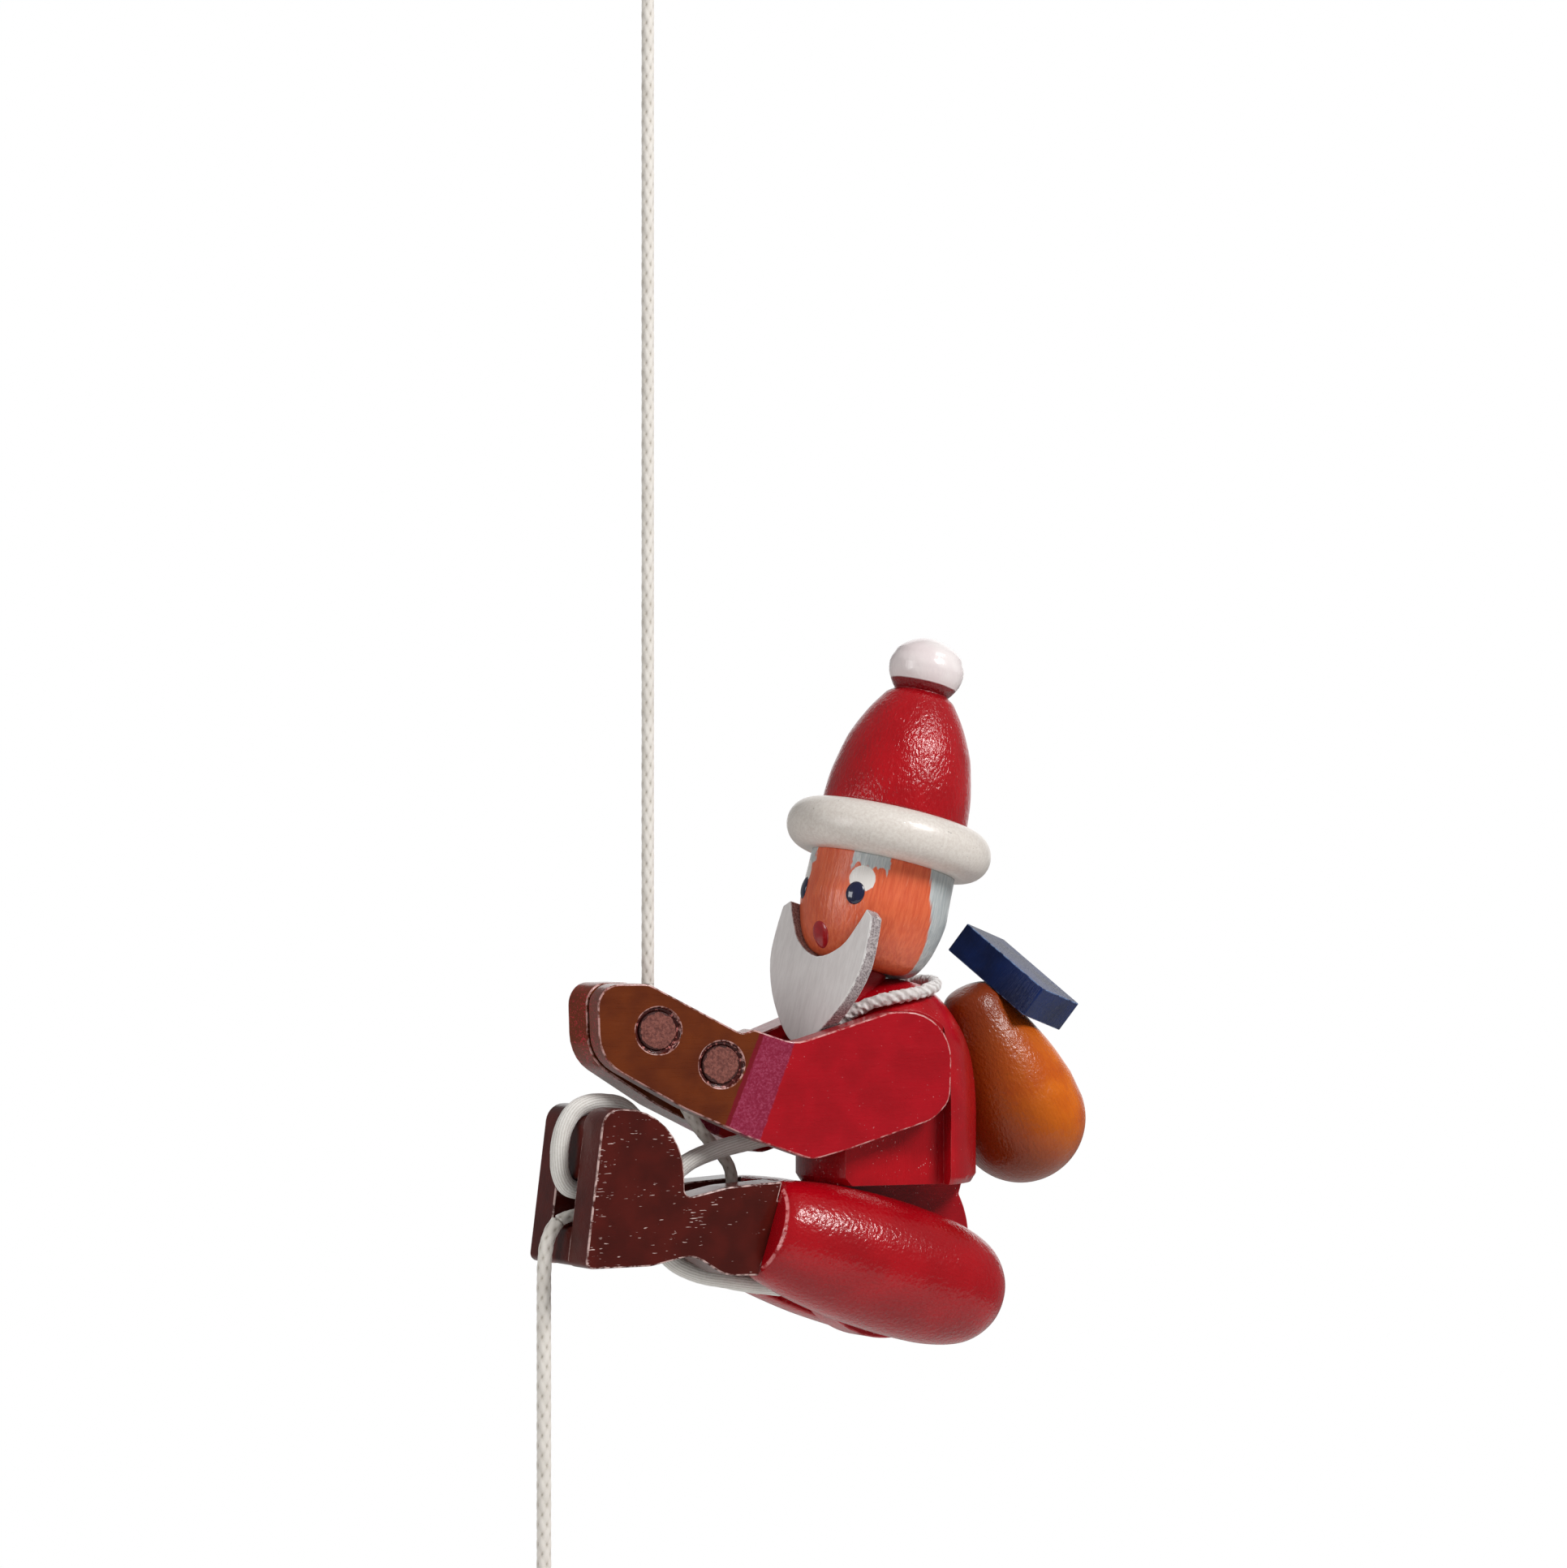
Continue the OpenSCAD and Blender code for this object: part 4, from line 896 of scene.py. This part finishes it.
def sack_stain_and_shade():
    """Amber stain under lacquer: streaks of the wood show through, with a painted highlight and
    painted
    shade: it is brightest at two places on the belly's outer side and darkens with the distance from
    them."""
    f = Finish("sack_stain_and_shade")
    at = f.local(SACK)
    x, y, z = f.split(at)
    streaks = f.noise(f.stretched(at, (0.5, 0.5, 5)), 1, 3, 0.6)
    cloud = f.noise(at, 7, 3, warp=0.6)
    tone = f.step(f.sum("MULTIPLY_ADD", streaks, 0.35, cloud), 0.4, 0.95)
    stain = f.mix(tone, srgb(196, 84, 5), srgb(228, 116, 11))
    # Painted highlight and shade: brightest round two points on the belly, darker with the distance
    # from them.
    folded = f.node("ShaderNodeCombineXYZ", {0: f.sum("ABSOLUTE", x), 1: y, 2: z}).outputs[0]
    away = f.node("ShaderNodeVectorMath", {0: folded, 1: (5.0, 9.0, 4.0)}, operation="DISTANCE")
    dark = f.step(f.sum("MULTIPLY_ADD", cloud, 4.0, away.outputs["Value"]), 7.0, 22.0)
    stain = f.mix(f.sum("MULTIPLY", dark, 0.92), stain, srgb(116, 36, 4))
    normal = f.bump(f.noise(f.stretched(at, (0.5, 0.5, 0.8)), 1, 2, 0.55), 0.13 * MM)
    normal = f.bump(f.noise(at, 2, 2), 0.05 * MM, normal)
    return f.shade(Base_Color=stain, Roughness=0.34, Normal=normal, Coat_Weight=0.25,
                   Coat_Roughness=0.18, Specular_IOR_Level=0.25)


TORSO = Place([0, TORSO_Y, TORSO_Z])
FRAME_AXES = Place([0, 0, 0])
RED, DEEP_RED = (184, 8, 24), (156, 4, 18)
PLATE_RED, DEEP_PLATE_RED = (192, 12, 30), (156, 6, 22)
NAVY, DEEP_NAVY = (14, 38, 94), (9, 22, 60)

yarn = cord_yarn("cord_yarn", (240, 234, 226), (178, 168, 154))
elastic_yarn = cord_yarn("elastic_yarn", (248, 245, 240), (206, 200, 192), fibre=0.3, depth=0.14)
collar_yarn = cord_yarn("collar_yarn", (244, 240, 238), (205, 198, 194), depth=0.08)
# The edge finishes pale their bevels in broken lines: wear and a painted highlight.
torso_red = grained_paint("torso_red", RED, DEEP_RED, TORSO, flecks=0.06)
torso_wear_and_highlight = grained_paint("torso_edge_wear_and_highlight", RED, DEEP_RED, TORSO, wear_and_highlight=0.6)
# The thigh's rim round its front face is paled as a painted highlight.
thigh_red = grained_paint("thigh_red", (174, 5, 20), (158, 4, 17), THIGH, waves=0.15,
                          wave_sizes=(0.8, 0.8, 0.6), grain=0.01, roughness=0.28, coat=0.5,
                          rim=(0.02, 0.4))
plate_red = grained_paint("plate_red", PLATE_RED, DEEP_PLATE_RED, TORSO, flecks=0.1,
                          sizes=(0.4, 4, 0.4))
plate_wear_and_highlight = grained_paint("plate_edge_wear_and_highlight", PLATE_RED, DEEP_PLATE_RED, TORSO, wear_and_highlight=0.5,
                           pale=(214, 110, 116))
bead_red = grained_paint("bead_red", RED, DEEP_RED, FRAME_AXES)
parcel_blue = grained_paint("parcel_blue", NAVY, DEEP_NAVY, PARCEL, sizes=(0.35, 0.35, 2.5),
                            roughness=0.4, coat=0.15, grain=0.14)
parcel_wear_and_highlight = grained_paint("parcel_edge_wear_and_highlight", NAVY, DEEP_NAVY, PARCEL, wear_and_highlight=0.6,
                            pale=(130, 160, 205))
boots_brown = boot_paint("boot_brown")
boots_wear_and_highlight = boot_paint("boot_edge_wear_and_highlight", 0.7)
peg_ends = dowel_end_paint()
wood = bare_wood()
navy = plain_paint("eye_navy", (24, 28, 66), 0.15, 0.8)

# Each CAD node's finish, and the finish of its edges, paled by wear and a painted highlight

BOARDS = {
    "torso": (torso_red, torso_wear_and_highlight),
    "neck": (plate_red,),
    "hip_plate": (plate_red, plate_wear_and_highlight),
    "beard": (beard_paint("beard_paint"), beard_paint("beard_edge_wear_and_highlight", 0.8)),
    "arm_left": (arm_paint("arm_left", 1), arm_paint("arm_left_edge_wear_and_highlight", 1, 0.6)),
    "arm_right": (arm_paint("arm_right", -1), arm_paint("arm_right_edge_wear_and_highlight", -1, 0.6)),
    "boot_left": (boots_brown, boots_wear_and_highlight),
    "boot_right": (boots_brown, boots_wear_and_highlight),
    "toe_spacer": (boots_brown, boots_wear_and_highlight),
    "heel_spacer": (boots_brown, boots_wear_and_highlight),
    "parcel": (parcel_blue, parcel_wear_and_highlight),
    "elbow_peg": (wood,), "hip_axle": (wood,),
    "hat_dowel": (wood,), "sack_dowel": (wood,), "parcel_dowel": (wood,)}
HAND_PEGS = ("hand_peg_front", "hand_peg_rear")
BOARD_EASE, PEG_EASE = 0.25, 0.15


def cover(piece, *materials):
    """Gives a piece these materials, in the order of its slots."""
    piece.data.materials.clear()
    for m in materials:
        piece.data.materials.append(m)


def ease_edges(piece, width, worn):
    """Merges a board's loose triangles, takes out the seams on its flat faces and rounds its edges,
    which get the finish in the second slot where there is one, paled by wear and a painted highlight."""
    piece.data.polygons.foreach_set("use_smooth", [True] * len(piece.data.polygons))
    weld = piece.modifiers.new("merge", "WELD")
    weld.merge_threshold = 2e-6
    flat = piece.modifiers.new("flatten", "DECIMATE")
    flat.decimate_type = "DISSOLVE"
    flat.angle_limit = np.radians(0.6)
    edge = piece.modifiers.new("ease", "BEVEL")
    edge.width = width * MM
    edge.segments = 3
    edge.limit_method = "ANGLE"
    edge.angle_limit = np.radians(32)
    # The rounded edges take the second slot's finish, paled by wear and a painted highlight.
    edge.material = 1 if worn else -1
    normals = piece.modifiers.new("even_normals", "WEIGHTED_NORMAL")
    normals.keep_sharp = True


for name, finishes in BOARDS.items():
    cover(nodes[name], *finishes)
    ease_edges(nodes[name], BOARD_EASE, len(finishes) > 1)
for name in HAND_PEGS:
    cover(nodes[name], peg_ends)
    ease_edges(nodes[name], PEG_EASE, False)
for piece in thighs:
    cover(piece, thigh_red)
for piece in eyes:
    cover(piece, navy)
for piece in (top_loop, top_knot, hung_cord, inner_cord, pull_line, pull_knot):
    cover(piece, yarn)
for piece in (stretched_elastic, toe_elastic):
    cover(piece, elastic_yarn)
cover(collar, collar_yarn)
cover(head, head_paint())
cover(hat, hat_paint())
cover(brim, brim_paint())
cover(sack, sack_stain_and_shade())
cover(bead, bead_red)
cover(mouth, plain_paint("mouth_red", (188, 24, 34), 0.2, 0.6))


# Which body each piece rides on, the node it stands for and its slot

RIDERS = (
    (top_loop, "cord", "hanging_loop", "cord"),
    (top_knot, "cord", "loop_knot", "cord"),
    (hung_cord, "cord", "cord_upper", "cord"),
    (pull_line, "pull_cord", "cord_lower", "cord"),
    (pull_knot, "pull_cord", "end_knot", "cord"),
    (bead, "pull_cord", "pull_bead", "red_paint"),
    (toe_elastic, "legs", "elastic_loop", "elastic"),
    (thighs[0], "legs", "thigh_left", "red_paint"),
    (thighs[1], "legs", "thigh_right", "red_paint"),
    (hat, "figure", "hat", "red_paint"),
    (brim, "figure", "hat_brim", "white_paint"),
    (head, "figure", "head", "skin_paint"),
    (sack, "figure", "sack", "amber_stain"),
    (collar, "figure", "collar_cord", "cord"))

# The pieces that reach from the figure to the legs, the node each stands for, a start and an end
# place, and its slot.

BLENDED = (
    (inner_cord, "cord_middle", (0, 0.014, -0.206), (0, 0.014, -0.214), "cord"),
    (stretched_elastic, "elastic_span", (0, 0.018, -0.2046), (0, 0.003, -0.2105), "elastic"))

for piece, body, old, slot in RIDERS:
    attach(piece, body)
    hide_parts(old)
for piece in (*eyes, mouth):
    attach(piece, "figure")
for piece, old, start, end, slot in BLENDED:
    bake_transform(piece)
    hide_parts(old)

length_of(lower_route)

# At the top of the climb of 120 mm, 36 of the upper cord's 156 mm are left.

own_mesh(hung_cord)


# Floor, light and background

FLOOR_Z, FLOOR_HALF = -0.45, 0.6
WORLD_LEVEL = 0.22


def pale_floor():
    """A plain square floor under the toy, which the camera sees a little paler than it is lit."""
    z, half = FLOOR_Z, FLOOR_HALF
    corners = [(-half, -half, z), (half, -half, z), (half, half, z), (-half, half, z)]
    mesh = bpy.data.meshes.new("floor")
    mesh.from_pydata(corners, [], [(0, 1, 2, 3)])
    floor = bpy.data.objects.new("floor", mesh)
    bpy.context.scene.collection.objects.link(floor)
    f = Finish("floor_pale")
    seen = f.node("ShaderNodeLightPath").outputs["Is Camera Ray"]
    cover(floor, f.shade(Base_Color=srgb(238, 238, 236), Roughness=0.7, Emission_Color=(1, 1, 1, 1),
                         Emission_Strength=f.sum("MULTIPLY", seen, 0.5)))


def lamp(name, across, towards, above, power, size):
    """A square lamp that looks at the aim from these shares of a metre: across the picture, towards
    the camera and above."""
    data = bpy.data.lights.new(name, "AREA")
    data.energy = power
    data.size = size
    place = AIM + across * RIGHT + towards * TO_CAMERA + above * UP
    faced(bpy.data.objects.new(name, data), place)


def studio_world():
    """White where the camera sees it, and a plain grey level as light on the toy."""
    world = bpy.data.worlds.new("studio")
    bpy.context.scene.world = world
    world.use_nodes = True
    nodes_in, link = world.node_tree.nodes, world.node_tree.links.new
    rays = nodes_in.new("ShaderNodeLightPath")
    seen = nodes_in.new("ShaderNodeMath")
    seen.operation = "MAXIMUM"
    link(rays.outputs["Is Camera Ray"], seen.inputs[0])
    link(rays.outputs["Is Transmission Ray"], seen.inputs[1])
    level = nodes_in.new("ShaderNodeMapRange")
    link(seen.outputs[0], level.inputs["Value"])
    level.inputs["To Min"].default_value = WORLD_LEVEL
    level.inputs["To Max"].default_value = 1.0
    nodes_in["Background"].inputs["Color"].default_value = (1, 1, 1, 1)
    link(level.outputs[0], nodes_in["Background"].inputs["Strength"])


pale_floor()
lamp("key", across=0.65, towards=0.5, above=0.65, power=9.0, size=0.32)
lamp("fill", across=-0.7, towards=0.5, above=0.15, power=2.3, size=0.4)
lamp("back", across=0.1, towards=-0.95, above=0.3, power=2.0, size=0.8)
studio_world()
bpy.context.scene.view_settings.view_transform = "Standard"
